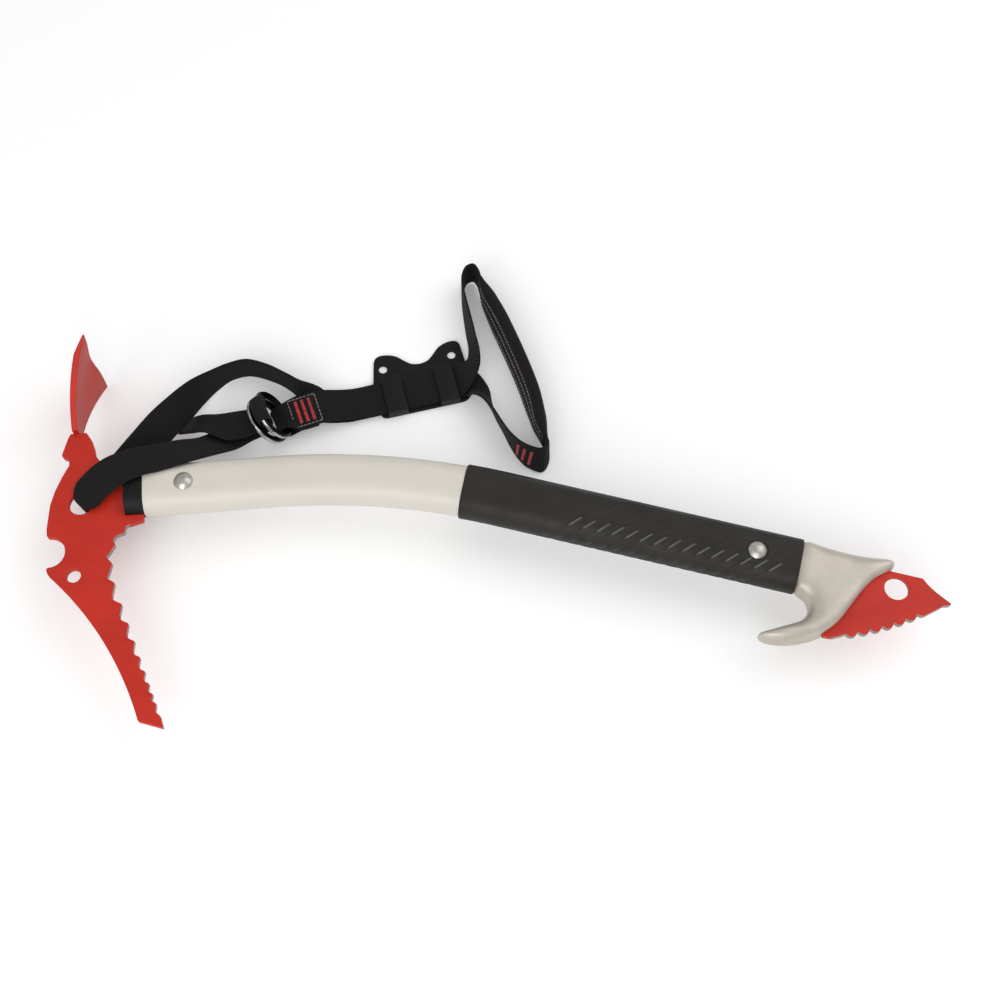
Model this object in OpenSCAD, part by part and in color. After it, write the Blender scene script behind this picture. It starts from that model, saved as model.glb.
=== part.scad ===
// Ice climbing tool lying on its side, with its webbing leash. Millimetres, +Z up.
// X runs along the tool from head to spike, Y from the pick to the adze.

/* [Shaft] */
// Height of the oval tube, across the tool's plane
tube_h = 30; // [26:0.5:36]
// Depth of the oval tube
tube_d = 20; // [18:0.5:24]
// Wall of the tube
tube_wall = 2; // [1.5:0.1:2.6]
// Radius of the bow at the middle of the tube
bow_r = 400; // [300:10:600]
// Angle by which the front of the tube falls from the top of the bow
front_angle = 5; // [2:0.5:8]
// Angle by which the rear of the tube falls from the top of the bow
rear_angle = 14; // [10:0.5:18]
// Straight tube between the mouth and the bow
front_len = 70; // [60:1:90]
// Straight tube between the bow and the rear end
rear_len = 168; // [150:1:190]

/* [Head] */
// Thickness of the head plate
plate_t = 4; // [3:0.5:5]
// Length of the tang inside the tube
tang_len = 42; // [34:1:52]
// Height of the tang
tang_h = 18; // [14:0.5:20]
// Visible length of the moulded collar
collar_len = 10.5; // [8:0.5:14]
// Radius of the eye for the leash
eye_r = 6.5; // [6.5:0.25:7.5]
// Radius of the small hole in the pick
pick_hole_r = 4; // [3:0.25:5]
// Radius of the half-round notch in the back of the head
notch_r = 9; // [7:0.5:10]
// Radius of the hollow along the pick's outer edge
hollow_r = 200; // [160:5:400]
// Pitch of the largest tooth of the pick's row
tooth_pitch = 13.4; // [12:0.1:13.6]
// How much shorter each next tooth is
tooth_step = 1.2; // [1.1:0.05:1.4]
// Number of teeth in the pick's row
tooth_count = 8; // [6:1:8]

/* [Adze] */
// Width of the adze at its cutting edge
adze_w = 62; // [50:1:70]
// Width of the adze at its root
adze_root_w = 12; // [10:1:20]
// Thickness of the adze blade
adze_t = 3.5; // [3:0.25:4.5]
// Height of the adze over the head plate
adze_len = 47.5; // [40:0.5:55]
// Radius of the adze's droop
droop_r = 128.5; // [100:0.5:180]
// Length of the sharpened bevel
bevel_len = 9; // [5:0.5:14]

/* [Rear] */
// Wall of the rubber grip
grip_wall = 1; // [0.8:0.1:1.6]
// Length of the grip along its axis
grip_len = 191; // [175:1:200]
// Number of scallops under the grip
scallops = 15; // [10:1:18]
// Pitch of the scallops
scallop_pitch = 8; // [7:0.25:8.5]
// Depth of the finger rest casting
pommel_d = 20; // [18:0.5:24]
// Length of the casting's spigot inside the tube
spigot_len = 38; // [34:1:50]
// Thickness of the spike plate
spike_t = 4; // [3:0.5:5]
// Height of the spike's tang
spike_tang_h = 15; // [10:0.5:16]
// Radius of the spike's clip-in hole
spike_hole_r = 6.75; // [5.5:0.25:7.5]
// Pitch of the spike's teeth
spike_pitch = 7; // [6:0.1:7]
// Depth of the spike's teeth
spike_depth = 1.8; // [1:0.1:2.5]

/* [Rivets] */
// Radius of both rivets' shanks
rivet_r = 3; // [2.5:0.25:4]
// Radius of the domed rivet heads
rivet_head_r = 5.5; // [5:0.25:6.5]
// Height of the domed rivet heads
rivet_head_h = 2.6; // [2:0.1:3.2]
// Distance of the head rivet behind the tube's mouth
head_rivet_x = 23; // [18:0.5:30]
// Distance of the rear rivet before the tube's rear end
rear_rivet_x = 24.5; // [20:0.5:28]

/* [Leash] */
// Width of the webbing
web_w = 20.5; // [18:0.5:21]
// Thickness of the webbing
web_t = 1.6; // [1.2:0.1:1.7]
// Radius of the buckle rings, at the middle of the wire
ring_r = 13.5; // [13:0.1:14]
// Radius of the rings' wire
wire_r = 2; // [1.6:0.1:2.1]
// Height of the wrist pad
pad_h = 23; // [22.8:0.1:24]
// Thickness of the wrist pad
pad_t = 8; // [7:0.5:10]
// Thickness of the slider's plate
slider_t = 1.8; // [1.4:0.1:1.9]
// Thickness of the slider's cross bars
bar_t = 1.5; // [1:0.1:2.5]
// Radius of the slider's two eyelets
eyelet_r = 2.5; // [1.5:0.25:3]

/* [Hidden] */
$fn = 96;
// The bow is a small part of a large circle, so it has more sides
bow_fn = 720;

// Clearance between pieces that are pushed together
fit = 0.1;
// Margin by which cutting tools pass through what they cut
over = 1;

// Height of the tool's middle plane: the adze's lower corner touches the table
mid_z = adze_w / 2;

// The tube's section is two half circles and a flat between them
end_r = tube_d / 2;
flat_h = tube_h - tube_d;

// Places along the shaft in the plan, measured from the top of the bow
bow_top = [-95, 12.3];
function turn(p, a) = [p.x * cos(a) - p.y * sin(a), p.x * sin(a) + p.y * cos(a)];
front_start = bow_top + [-bow_r * sin(front_angle), -bow_r * (1 - cos(front_angle))];
rear_start = bow_top + [bow_r * sin(rear_angle), -bow_r * (1 - cos(rear_angle))];
mouth = front_start - turn([front_len, 0], front_angle);
tube_end = rear_start + turn([rear_len, 0], -rear_angle);
function head_plan(p) = mouth + turn(p, front_angle);
function rear_plan(p) = tube_end + turn(p, -rear_angle);

// Corners of the head, from the tube's mouth
head_back = [-54, -19];
nose = [-53, -46.5];
pick_heel = [-3, -134];
pick_tip = [10.5, -139];
row_start = [-16, -54.5];
row_end = [9, -132.5];
eye_at = [-35.5, -5.5];
pick_hole_at = [-38.5, -48.5];
notch_at = [-52.5, -33.5];
adze_seat = 39;
adze_in_x = -37;

// Corners of the spike, from the tube's rear end
tang_half = spike_tang_h / 2;
spike_tip = [84.5, -1.8];
teeth_start = [72, -11.4];
teeth_end = [25.4, -37.4];
teeth_bulge = 2.3;
spike_hole_at = [54.2, 0];

// The adze is a sector of a tube whose axis lies on the shaft's side
adze_axis = [adze_in_x + droop_r, adze_seat + 2];
adze_top = adze_seat + adze_len;
function adze_point(r, y) = [adze_axis.x - sqrt(r * r - (y - adze_axis.y) * (y - adze_axis.y)), y];

// The origin lies under the middle of the tool's box, on the table
box_left = head_plan(head_back).x;
box_right = rear_plan(spike_tip).x;
box_top = head_plan(adze_point(droop_r, adze_top)).y;
box_bottom = head_plan(pick_tip).y;
origin = [(box_left + box_right) / 2, (box_bottom + box_top) / 2, 0];

// Teeth of the pick's row: each tip and the gullet behind it
row_dir = (row_end - row_start) / norm(row_end - row_start);
row_out = [-row_dir.y, row_dir.x];
function row_at(i) = row_start + row_dir * (i * tooth_pitch - tooth_step * i * (i - 1) / 2);
function pitch_at(i) = tooth_pitch - tooth_step * i;
function tooth(i) = [row_at(i), row_at(i) + (row_dir * 0.64 - row_out * 0.33) * pitch_at(i)];
row = [for (i = [tooth_count - 1:-1:0]) each [tooth(i)[1], tooth(i)[0]]];

// Teeth of the spike, on a bulging line from its tip back to the casting
saw_len = norm(teeth_end - teeth_start);
saw_dir = (teeth_end - teeth_start) / saw_len;
saw_out = [-saw_dir.y, saw_dir.x];
saw_teeth = floor(saw_len / spike_pitch);
function saw_at(d) =
    teeth_start + saw_dir * d + saw_out * teeth_bulge * 4 * d * (saw_len - d) / saw_len / saw_len;
saw = [for (i = [0:saw_teeth - 1]) let (d = i * spike_pitch)
    each [saw_at(d), saw_at(d + 0.28 * spike_pitch), saw_at(d + 0.64 * spike_pitch) - saw_out * spike_depth]];

function arc(c, r, a, b, n) = [for (i = [0:n]) c + r * [cos(a + (b - a) * i / n), sin(a + (b - a) * i / n)]];

// Outline of the casting, from the tube's rear end, in order round the shape; the third value is its rounding
grip_half = tube_h / 2 + grip_wall;
gap_r = 8.2;
gap_at = [1, -grip_half - 9];
rim_r = 3;
hook_r = 3.9;
function rounded(list, by) = [for (p = list) [p.x, p.y, by]];
casting = concat(
    [[0, grip_half, end_r], [0, -grip_half, end_r]], rounded(arc(gap_at, gap_r, 65, -60, 8), 6),
    [[-2, -36, 4.5], [-8, -39.8, 3.2]], rounded(arc([-10.3, -43.8], hook_r, 125, 270, 5), 2.7),
    [[-3, -47.5, 4.5], [4, -46.2, 6], [10.5, -43.2, 6], [15.5, -40.2, 5], [19.3, -37.3, 3.5], [24, -33, 3],
     [28, -27, 3], [32, -18, 3], [36.5, -8, 3], [42, 1, 3], [47.5, 5.8, 2.6], [50.8, 9.4, 2.2]],
    rounded(arc([49.4, grip_half - rim_r - 0.2], rim_r, -15, 100, 4), 2.5),
    [[41, grip_half - 1.1, 6], [34, grip_half - 1.7, 7.5], [27, grip_half - 1.8, 8.5],
     [13, grip_half - 1.2, 9.5]]);

// The casting stands off the tube's end by half a clearance
seat = fit / 2;

// Depths of the casting's layers as shares of its half depth; its edge is a quarter ellipse
layer_at = [-1, -0.98, -0.9, -0.75, -0.5, 0, 0.5, 0.75, 0.9, 0.98, 1];
function drawn(share) = 1 - sqrt(1 - share * share);
function inward(list, i) =
    let (n = len(list), d = list[(i + 1) % n] - list[(i + n - 1) % n]) [-d.y, d.x] / norm([d.x, d.y]);
function layer(list, share) =
    [for (i = [0:len(list) - 1]) let (p = list[i], q = [p.x, p.y] + inward(list, i) * p.z * drawn(share))
        [i < 2 ? seat : q.x, q.y, share * pommel_d / 2]];

// Faces between sections with the same number of points; the two sides of the body are split alike
function skin(rings, n) =
    [for (i = [0:rings - 2], j = [0:n - 1]) let (k = (j + 1) % n, a = i * n, b = a + n)
        each (j < n / 2 ? [[a + j, b + j, b + k], [a + j, b + k, a + k]]
                        : [[a + j, b + j, a + k], [a + k, b + j, b + k]])];

// End faces of such a body, from the faces of its first end; a strip has one quad for each pair of points
function both_ends(faces, rings, n) =
    concat(faces, [for (f = faces) [for (k = [len(f) - 1:-1:0]) (rings - 1) * n + f[k]]]);
function strip_faces(first, last) =
    [for (j = [first:(first + last - 3) / 2]) [j, j + 1, first + last - j - 1, first + last - j]];

// The casting's flat face: a strip along the hook, from its tip to the neck, and a fan from the neck
neck = 2;
facing_neck = 29;
casting_face = concat(strip_faces(neck, facing_neck),
    [for (k = [facing_neck:len(casting)]) [neck, k % len(casting), (k + 1) % len(casting)]]);

// Webbing stations: x, y, z, direction and tilt of the line across the webbing, width there, and cup
flat = web_w;
slider_at = [-45, 84.8];
slider_dir = 14;
layer_gap = 0.3;
function on_line(x, z) =
    [x, slider_at.y + (x - slider_at.x) * tan(slider_dir), z, 90 + slider_dir, 0, flat, 0];
low_layer = slider_t + layer_gap + web_t / 2;
high_layer = low_layer + web_t + layer_gap;

// The two rings stand in the keeper's fold and lean towards the head; places are along and above the table
ring_at = [-125.6, 61.9];
ring_dir = 20;
upper_lean = 58;
lower_lean = 52;
upper_foot = [0, 7.8];
lower_foot = [-2.8, 4.5];
function far_wire(foot, lean) = foot + 2 * ring_r * [-cos(lean), sin(lean)];
upper_wire = far_wire(upper_foot, upper_lean);
lower_wire = far_wire(lower_foot, lower_lean);
keeper_z = 11.9;
keeper_tilt = 8;
under_keeper = keeper_z - web_t - layer_gap;
function ring_station(p, tilt, w, cup) =
    [ring_at.x + p.x * cos(ring_dir), ring_at.y + p.x * sin(ring_dir), p.y, 90 + ring_dir, tilt, w, cup];
function toward_ring(side) =
    side * [cos(upper_lean) * cos(ring_dir), cos(upper_lean) * sin(ring_dir), -sin(upper_lean)];

// The leash turns round the rim of the eye
eye = head_plan(eye_at);
function eye_station(out, rise, w) =
    [eye.x + out * cos(45), eye.y + out * sin(45), mid_z + rise, 135, 0, w, 0];

// Width and cup of the webbing where it turns round the rings' wire
tight = [16, 2.6];

// Sling: from its tail through the rings, over the shaft, through the eye and round to the slider
sling = concat(
    [[-190, 57.8, 7.5, 106, -34, flat, 0], [-181, 55.8, 12.6, 106, -36, flat, 0],
     [-171, 52.8, 20.6, 107, -30, flat, 0], [-161, 51, 20.2, 109, -12, flat, 0]],
    [ring_station(lower_wire + [-6.5, -5], 0, 18, 1.2)],
    [for (p = [[0.1, -3.7], [2.4, -2.9], [3.7, -0.2]]) ring_station(lower_wire + p, 0, tight[0], tight[1])],
    [for (p = [[-1.9, -2.9], [-3.5, 0], [-2.5, 2.5], [0, 3.6], [2.5, 2.5], [3.6, 0], [3.8, -3.4], [2.8, -8],
               [0.4, -12.4], [-3.2, -15.1]]) ring_station(upper_wire + p, 0, tight[0], tight[1])],
    [ring_station(upper_wire + [-9.5, -16.2], 0, 18, 1.4)],
    [[-157.5, 46, 16, 123, -14, flat, 0], [-168, 35, 27.4, 128, -23, flat, 0],
     [-180, 26.5, 37.8, 115, -20, flat, 0], [-193, 21.5, 40.1, 110, -14, flat, 0],
     [-206, 17, 42, 113, -10, flat, 0], [-217, 11.5, 41.6, 122, -4, flat, 0],
     [-226.3, 5.3, 37.4, 134, 0, 19.5, 0]],
    [for (p = [[3.6, 4.6, 17.5], [0.9, 3.4, 13.5], [-0.2, 0.8, 10.5], [-0.2, -0.8, 10.5], [0.9, -3.4, 12.5],
               [3.6, -4.4, 13.5]]) eye_station(p[0], p[1], p[2])],
    [[-226.5, 5.2, 26.6, 138, 4, 15, 0], [-220.5, 14.5, 24.4, 143, 16, 18, 0],
     [-213, 25.5, 21.8, 145, 26, flat, 0], [-204.3, 38, 22.4, 145, 33, flat, 0],
     [-195, 50.5, 24, 146, 42, flat, 0], [-185.8, 63, 22.3, 146, 52, flat, 0],
     [-178, 75.5, 17.5, 140, 66, flat, 0], [-169.6, 86, 12.5, 130, 82, flat, 0],
     [-161, 93, 10.4, 112, 90, flat, 0], [-151, 95.8, 10.3, 90, 90, flat, 0],
     [-139, 93, 10.3, 66, 90, flat, 0], [-127, 87, 10.3, 60, 90, flat, 0],
     [-118, 80.8, 10.3, 55, 80, flat, 0], [-110.5, 75.6, 7.2, 70, 36, flat, 0],
     [-103.5, 73.4, 5.2, 98, 14, flat, 0], [-96.5, 73, 3.7, 104, 6, flat, 0]],
    [on_line(-88, low_layer), on_line(-36.2, low_layer)]);

// The pad is a sleeve round the hand loop, with sewn channels on its inner side
pad_path = [[26.6, 46.5], [23.9, 56.5], [17.6, 80], [9, 104], [-0.8, 128], [-8.8, 146.5], [-12.2, 154.4]];
pad_z = pad_h / 2 + 0.1;
pad_steps = 16;
tunnel_h = web_w / 2 + 0.4;
tunnel_t = web_t / 2 + 0.4;
channel = 0.9;
pad_edge = 1.6;
function pad_v(i) = (i / pad_steps * 2 - 1) * pad_h / 2;
function crown(i) = pad_edge + (pad_t / 2 - pad_edge) * sqrt(1 - pow(i / pad_steps * 2 - 1, 4));
function sewn(i) = (i % 4 == 0 && i > 0 && i < pad_steps) ? channel : 0;
function pinch(k) = (k == 0 || k == len(pad_path) - 1) ? 0.8 : 1;

// Wrist webbing: from the keeper's fold through the slider, round the hand loop and back into the slider
wrist = concat(
    [ring_station([17, under_keeper], keeper_tilt, flat, 0),
     ring_station([10, under_keeper - 0.1], keeper_tilt, flat, 0)],
    [for (p = [[6.5, 8, 19.5, 0.3], [3, 4.8, 18, 0.8], [0, 2.1, 17, 1.6]])
        ring_station([p[0], p[1]], 0, p[2], p[3])],
    [for (p = [[-2.8, 1], [-5.5, 1.9], [-6.6, 4.5], [-5.4, 7.4], [-2.4, 10.8], [0.2, 11.7]])
        ring_station(p, 0, tight[0], tight[1])],
    [ring_station([6, keeper_z], keeper_tilt, flat, 0), ring_station([19, keeper_z], keeper_tilt, flat, 0)],
    [[-101, 70.8, 9.8, 108, 6, flat, 0], [-94, 72.6, 7, 105, 2, flat, 0]],
    [on_line(-86.5, high_layer + 0.1), on_line(-70, high_layer), on_line(-30, high_layer),
     on_line(-26, high_layer + 0.1)],
    [[-21.2, 93, 8.6, 118, -20, flat, 0], [-17.6, 98.5, 10.8, 142, -46, flat, 0],
     [-16, 105, 11, 160, -68, flat, 0], [-16.5, 112.4, 10.7, 172, -78, flat, 0],
     [-18.6, 124, 10.6, 178, -81, flat, 0], [-20.9, 136, 10.6, 180, -85, flat, 0],
     [-22.6, 148, 10.7, 180, -89, flat, 0], [-22.4, 156.5, 10.8, 180, -90, flat, 0],
     [-20.2, 161, 11, 180, -90, flat, 0], [-16.5, 162.3, 11.2, 180, -90, flat, 0],
     [-13.6, 158.8, 11.4, 180, -90, flat, 0]],
    [for (k = [len(pad_path) - 1:-1:0]) [pad_path[k].x, pad_path[k].y, pad_z, 180, -90, flat, 0]],
    [[28.2, 39.8, 11.1, 110, -97, flat, 0], [24.3, 34.9, 10.6, 100, -108, flat, 0],
     [18.5, 36.6, 10.4, 55, -104, flat, 0], [12.2, 41, 10.4, 42, -96, flat, 0],
     [6.4, 48.2, 10.4, 35, -88, flat, 0], [1.6, 56.8, 10.5, 30, -83, flat, 0],
     [-3.3, 66, 10.5, 30, -80, flat, 0], [-8.2, 75, 10.1, 35, -66, flat, 0],
     [-12.2, 82, 7.9, 48, -40, flat, 0], [-14.2, 84.8, 6.6, 62, -27, flat, 0],
     [-16.2, 87.4, 5.3, 75, -14, flat, 0], [-20.5, 90.6, 3.7, 98, -4, flat, 0]],
    [on_line(-26, low_layer), on_line(-35.8, low_layer)]);

function unit(v) = v / norm(v);
function along(list, i) = unit(list[min(i + 1, len(list) - 1)] - list[max(i - 1, 0)]);

// One section of the webbing: five points across its upper face and five back across its lower face
function across(s) = [cos(s[3]) * cos(s[4]), sin(s[3]) * cos(s[4]), sin(s[4])];
function section(list, i, cup_dir) =
    let (s = list[i], places = [for (q = list) [q[0], q[1], q[2]]], a = across(s),
         b = unit(cross(a, along(places, i))), c = places[i],
         line = [for (e = [-1:0.5:1]) c + a * e * s[5] / 2 + cup_dir * s[6] * e * e])
    concat([for (p = line) p + b * web_t / 2], [for (k = [4:-1:0]) line[k] - b * web_t / 2]);

module ribbon(list, cup_dir) {
    polyhedron([for (i = [0:len(list) - 1]) each section(list, i, cup_dir)],
               concat(both_ends(strip_faces(0, 9), len(list), 10), skin(len(list), 10)), convexity = 12);
}

// Moves plan coordinates to the part's own origin
module placed() {
    translate(-origin) children();
}

module at_head() {
    placed() translate([mouth.x, mouth.y, mid_z]) rotate(front_angle) children();
}

module at_rear() {
    placed() translate([tube_end.x, tube_end.y, mid_z]) rotate(-rear_angle) children();
}

module sheet(t) {
    translate([0, 0, -t / 2]) linear_extrude(t) children();
}

// A hole right through the tool, across its plane
module bore(at, r) {
    translate([at.x, at.y, -mid_z]) cylinder(r = r, h = 2 * mid_z);
}

// Oval section of the tube, grown or shrunk by a wall
module oval(grow) {
    square([flat_h, tube_d + 2 * grow], center = true);
    for (side = [-1, 1]) translate([side * flat_h / 2, 0]) circle(end_r + grow);
}

// Straight oval bar along X, from one place to another
module oval_bar(from, to, grow) {
    translate([from, 0, 0]) rotate([0, 90, 0]) rotate(90) linear_extrude(to - from) oval(grow);
}

// A stretch of the shaft: a straight bar and the part of the bow that it runs into
module stretch(turn_by, from, to, bow_part, grow) {
    translate([bow_top.x, bow_top.y - bow_r, mid_z]) rotate(90 + turn_by) {
        translate([bow_r, 0, 0]) rotate(-90) oval_bar(from, to, grow);
        rotate_extrude(angle = bow_part, $fn = bow_fn) translate([bow_r, 0]) oval(grow);
    }
}

// The front stretch runs a little way into the rear one, which is larger by a hair, so that the two join
lap = 0.02;
hair = 0.005;
module front_stretch(reach, grow) {
    stretch(front_angle, -reach, 0, -front_angle - lap / bow_r * 180 / PI, grow);
}

module rear_stretch(reach, bow_part, grow) {
    stretch(-rear_angle, 0, reach, bow_part, grow);
}

module dome() {
    ball_r = (rivet_head_r * rivet_head_r + rivet_head_h * rivet_head_h) / (2 * rivet_head_h);
    intersection() {
        translate([0, 0, rivet_head_h - ball_r]) sphere(ball_r);
        cylinder(r = rivet_head_r + over, h = rivet_head_h + over);
    }
}

module rivet() {
    translate([0, 0, -end_r]) cylinder(r = rivet_r, h = tube_d);
    for (side = [0, 180]) rotate([side, 0, 0]) translate([0, 0, end_r]) dome();
}

module head_plate() {
    chord = pick_heel - nose;
    drop = sqrt(hollow_r * hollow_r - chord * chord / 4);
    hollow_at = (nose + pick_heel) / 2 + [chord.y, -chord.x] / norm(chord) * drop;
    color("firebrick") at_head() difference() {
        sheet(plate_t) polygon(concat(
            [[tang_len - 4, tang_h / 2], [-0.5, tang_h / 2], [-0.5, 12], [-11, 13], [-24.5, 19.5],
             [-27.5, 24], [-28.5, 29], [-30, 34], [-33, adze_seat], [-42, adze_seat], [-43.5, 36],
             [-47, 25], [-42.5, 22.5], [-42.5, 19], [-46.5, 11.5], [-50, 3.5], [-52.5, -5], head_back,
             [-53.8, -24.5], [-53.8, -42.5], nose, pick_heel, pick_tip, row_end], row,
            [[-20, -51.5], [-17.5, -43], [-20.5, -39], [-16, -32], [-17, -29], [-15.5, -26.5], [-11, -25],
             [-10, -21], [-0.5, -18.5], [-0.5, -tang_h / 2], [tang_len - 4, -tang_h / 2],
             [tang_len, 4 - tang_h / 2], [tang_len, tang_h / 2 - 4]]));
        bore(eye_at, eye_r);
        bore(pick_hole_at, pick_hole_r);
        bore(notch_at, notch_r);
        bore(hollow_at, hollow_r);
        bore([head_rivet_x, 0], rivet_r);
    }
}

module adze_blade() {
    bevel_y = adze_top - bevel_len;
    color("indianred") at_head() difference() {
        intersection() {
            bore(adze_axis, droop_r + adze_t);
            rotate([90, 0, -90]) linear_extrude(-2 * adze_in_x)
                polygon([[-adze_seat, -adze_root_w / 2], [-adze_top, -adze_w / 2], [-adze_top, adze_w / 2],
                         [-adze_seat, adze_root_w / 2]]);
        }
        translate([0, 0, -over]) bore(adze_axis, droop_r);
        translate([0, 0, over]) bore(adze_axis, droop_r);
        sheet(adze_w + 2 * over) polygon([
            adze_point(droop_r + adze_t, bevel_y), adze_point(droop_r + 0.6, adze_top),
            adze_point(droop_r + 0.6, adze_top) + [0, over],
            adze_point(droop_r + 4 * adze_t, adze_top) + [0, over],
            adze_point(droop_r + 4 * adze_t, bevel_y)]);
    }
}

module head_insert() {
    slot_t = plate_t + 2 * fit;
    color("#1c1c1c") at_head() difference() {
        union() {
            oval_bar(-collar_len, 0, 0);
            oval_bar(0, tang_len, -tube_wall - fit);
        }
        translate([-collar_len - over, -tube_h, -slot_t / 2])
            cube([collar_len + over + fit, 2 * tube_h, slot_t]);
        translate([0, -tang_h / 2 - fit, -slot_t / 2]) cube([tang_len + over, tang_h + 2 * fit, slot_t]);
        bore([head_rivet_x, 0], rivet_r);
    }
}

module shaft_tube() {
    color("gainsboro") placed() difference() {
        union() {
            front_stretch(front_len, 0);
            rear_stretch(rear_len, rear_angle, hair);
        }
        union() {
            front_stretch(front_len + over, -tube_wall);
            rear_stretch(rear_len + over, rear_angle, hair - tube_wall);
        }
        translate([mouth.x, mouth.y, mid_z]) rotate(front_angle) bore([head_rivet_x, 0], rivet_r);
        translate([tube_end.x, tube_end.y, mid_z]) rotate(-rear_angle) bore([-rear_rivet_x, 0], rivet_r);
    }
}

module head_rivet() {
    color("silver") at_head() translate([head_rivet_x, 0, 0]) rivet();
}

module rear_rivet() {
    color("silver") at_rear() translate([-rear_rivet_x, 0, 0]) rivet();
}

module grip_sleeve() {
    bow_part = (grip_len - rear_len) / bow_r * 180 / PI;
    scallop_r = 6;
    scallop_depth = 0.6;
    under = tube_h / 2 + grip_wall;
    color("#2e2c2a") placed() difference() {
        rear_stretch(rear_len, bow_part, grip_wall);
        rear_stretch(rear_len + over, bow_part + over, fit);
        translate([tube_end.x, tube_end.y, mid_z]) rotate(-rear_angle) {
            bore([-rear_rivet_x, 0], rivet_head_r + 2 * fit);
            for (i = [1:scallops])
                bore([-i * scallop_pitch, scallop_depth - under - scallop_r], scallop_r);
        }
    }
}

// Slot that the spike's plate and tang fill, open at the spigot's front end
module spike_slot() {
    sheet(spike_t + 2 * fit) polygon([
        [-over - spigot_len, tang_half + fit], [40, tang_half + fit], [45, 9.2 + fit], [60, 9.2 + fit],
        [60, -40], [18 - fit, -40], [18 - fit, -35], [22 - fit, -28], [28 - fit, -tang_half - fit],
        [-over - spigot_len, -tang_half - fit]]);
}

module pommel() {
    // How far the spigot is rooted in the casting
    root = 3;
    color("#c8c1b4") at_rear() {
        difference() {
            polyhedron([for (share = layer_at) each layer(casting, share)],
                       concat(both_ends(casting_face, len(layer_at), len(casting)),
                              skin(len(layer_at), len(casting))), convexity = 6);
            spike_slot();
        }
        difference() {
            oval_bar(-spigot_len, root, -tube_wall - fit);
            spike_slot();
            bore([-rear_rivet_x, 0], rivet_r);
        }
    }
}

module spike_plate() {
    color("firebrick") at_rear() difference() {
        sheet(spike_t) polygon(concat(
            [[2 * fit - spigot_len, tang_half], [40, tang_half], [45, 9.2], [67.3, 9.2], [70.4, 6.3],
             [75.3, 3], [80, 0.5], spike_tip, [84, -2.6], [80.5, -4]], saw,
            [[24.5, -36.8], [19.4, -37.2], [18, -35], [22, -28], [28, -tang_half],
             [2 * fit - spigot_len, -tang_half]]));
        bore(spike_hole_at, spike_hole_r);
        bore([-rear_rivet_x, 0], rivet_r);
    }
}

module sling_webbing() {
    color("#232121") placed() ribbon(sling, toward_ring(1));
}

module wrist_webbing() {
    color("#232121") placed() ribbon(wrist, toward_ring(-1));
}

module wrist_pad() {
    n = 2 * (pad_steps + 1);
    rings = len(pad_path);
    side = [for (k = [0:rings - 1]) let (d = along(pad_path, k)) [-d.y, d.x]];
    function at(k, u, v) = [pad_path[k].x + side[k].x * u, pad_path[k].y + side[k].y * u, pad_z + v];
    outer = [for (k = [0:rings - 1]) concat(
        [for (i = [0:pad_steps]) at(k, (crown(i) - sewn(i)) * pinch(k), pad_v(i))],
        [for (i = [pad_steps:-1:0]) at(k, -crown(i) * pinch(k), pad_v(i))])];
    inner = [for (k = [0:rings - 1]) concat(
        [for (i = [0:pad_steps]) at(k, tunnel_t, pad_v(i) / pad_h * 2 * tunnel_h)],
        [for (i = [pad_steps:-1:0]) at(k, -tunnel_t, pad_v(i) / pad_h * 2 * tunnel_h)])];
    total = rings * n;
    last = (rings - 1) * n;
    color("#2a2826") placed() polyhedron(
        concat([for (l = outer) each l], [for (l = inner) each l]),
        concat([for (i = [0:rings - 2], j = [0:n - 1]) let (k = (j + 1) % n, a = i * n, b = a + n)
                   each [[a + j, b + j, b + k], [a + j, b + k, a + k],
                         [total + a + j, total + b + k, total + b + j],
                         [total + a + j, total + a + k, total + b + k]]],
               [for (j = [0:n - 1]) let (k = (j + 1) % n)
                   each [[j, k, total + k], [j, total + k, total + j],
                         [last + j, total + last + k, last + k],
                         [last + j, total + last + j, total + last + k]]]),
        convexity = 6);
}

module ring(foot, lean) {
    color("#3a3a3c") placed() translate([ring_at.x, ring_at.y, 0]) rotate(ring_dir)
        translate([foot.x - ring_r * cos(lean), 0, foot.y + ring_r * sin(lean)]) rotate([0, lean, 0])
            rotate_extrude() translate([ring_r, 0]) circle(wire_r);
}

module upper_ring() {
    ring(upper_foot, upper_lean);
}

module lower_ring() {
    ring(lower_foot, lower_lean);
}

module slider_plate() {
    wall = 1.5;
    half_w = web_w / 2 + layer_gap;
    front = -29;
    back = 28.5;
    corner = 5;
    bridges = [[-24.5, -12.3], [7.5, 19.3]];
    roof = high_layer + web_t / 2 + layer_gap;
    ear_mid = 1.4;
    ear_x = 20.9;
    ear_y = 24.8;
    ear_r = 5.4;
    eyelet_x = 21.2;
    eyelet_y = 20.6;
    saddle_r = 15.2;
    saddle_y = 34.6;
    color("#1e1d1c") placed() translate([slider_at.x, slider_at.y, 0]) rotate(slider_dir) difference() {
        union() {
            linear_extrude(slider_t) polygon([
                [front, -half_w - wall], [back - corner, -half_w - wall], [back, corner - half_w - wall],
                [back, half_w + wall], [ear_mid + ear_x + ear_r, ear_y], [ear_mid - ear_x - ear_r, ear_y],
                [front, half_w + wall]]);
            for (side = [-1, 1])
                translate([ear_mid + side * ear_x, ear_y, 0]) cylinder(r = ear_r, h = slider_t);
            for (span = bridges)
                translate([span[0], -half_w - wall, 0])
                    cube([span[1] - span[0], 2 * (half_w + wall), roof + bar_t]);
        }
        translate([front - over, -half_w, slider_t])
            cube([back - front + 2 * over, 2 * half_w, roof - slider_t]);
        translate([ear_mid, saddle_y, -over]) cylinder(r = saddle_r, h = slider_t + 2 * over);
        for (side = [-1, 1])
            translate([side * eyelet_x, eyelet_y, -over]) cylinder(r = eyelet_r, h = slider_t + 2 * over);
    }
}

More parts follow.
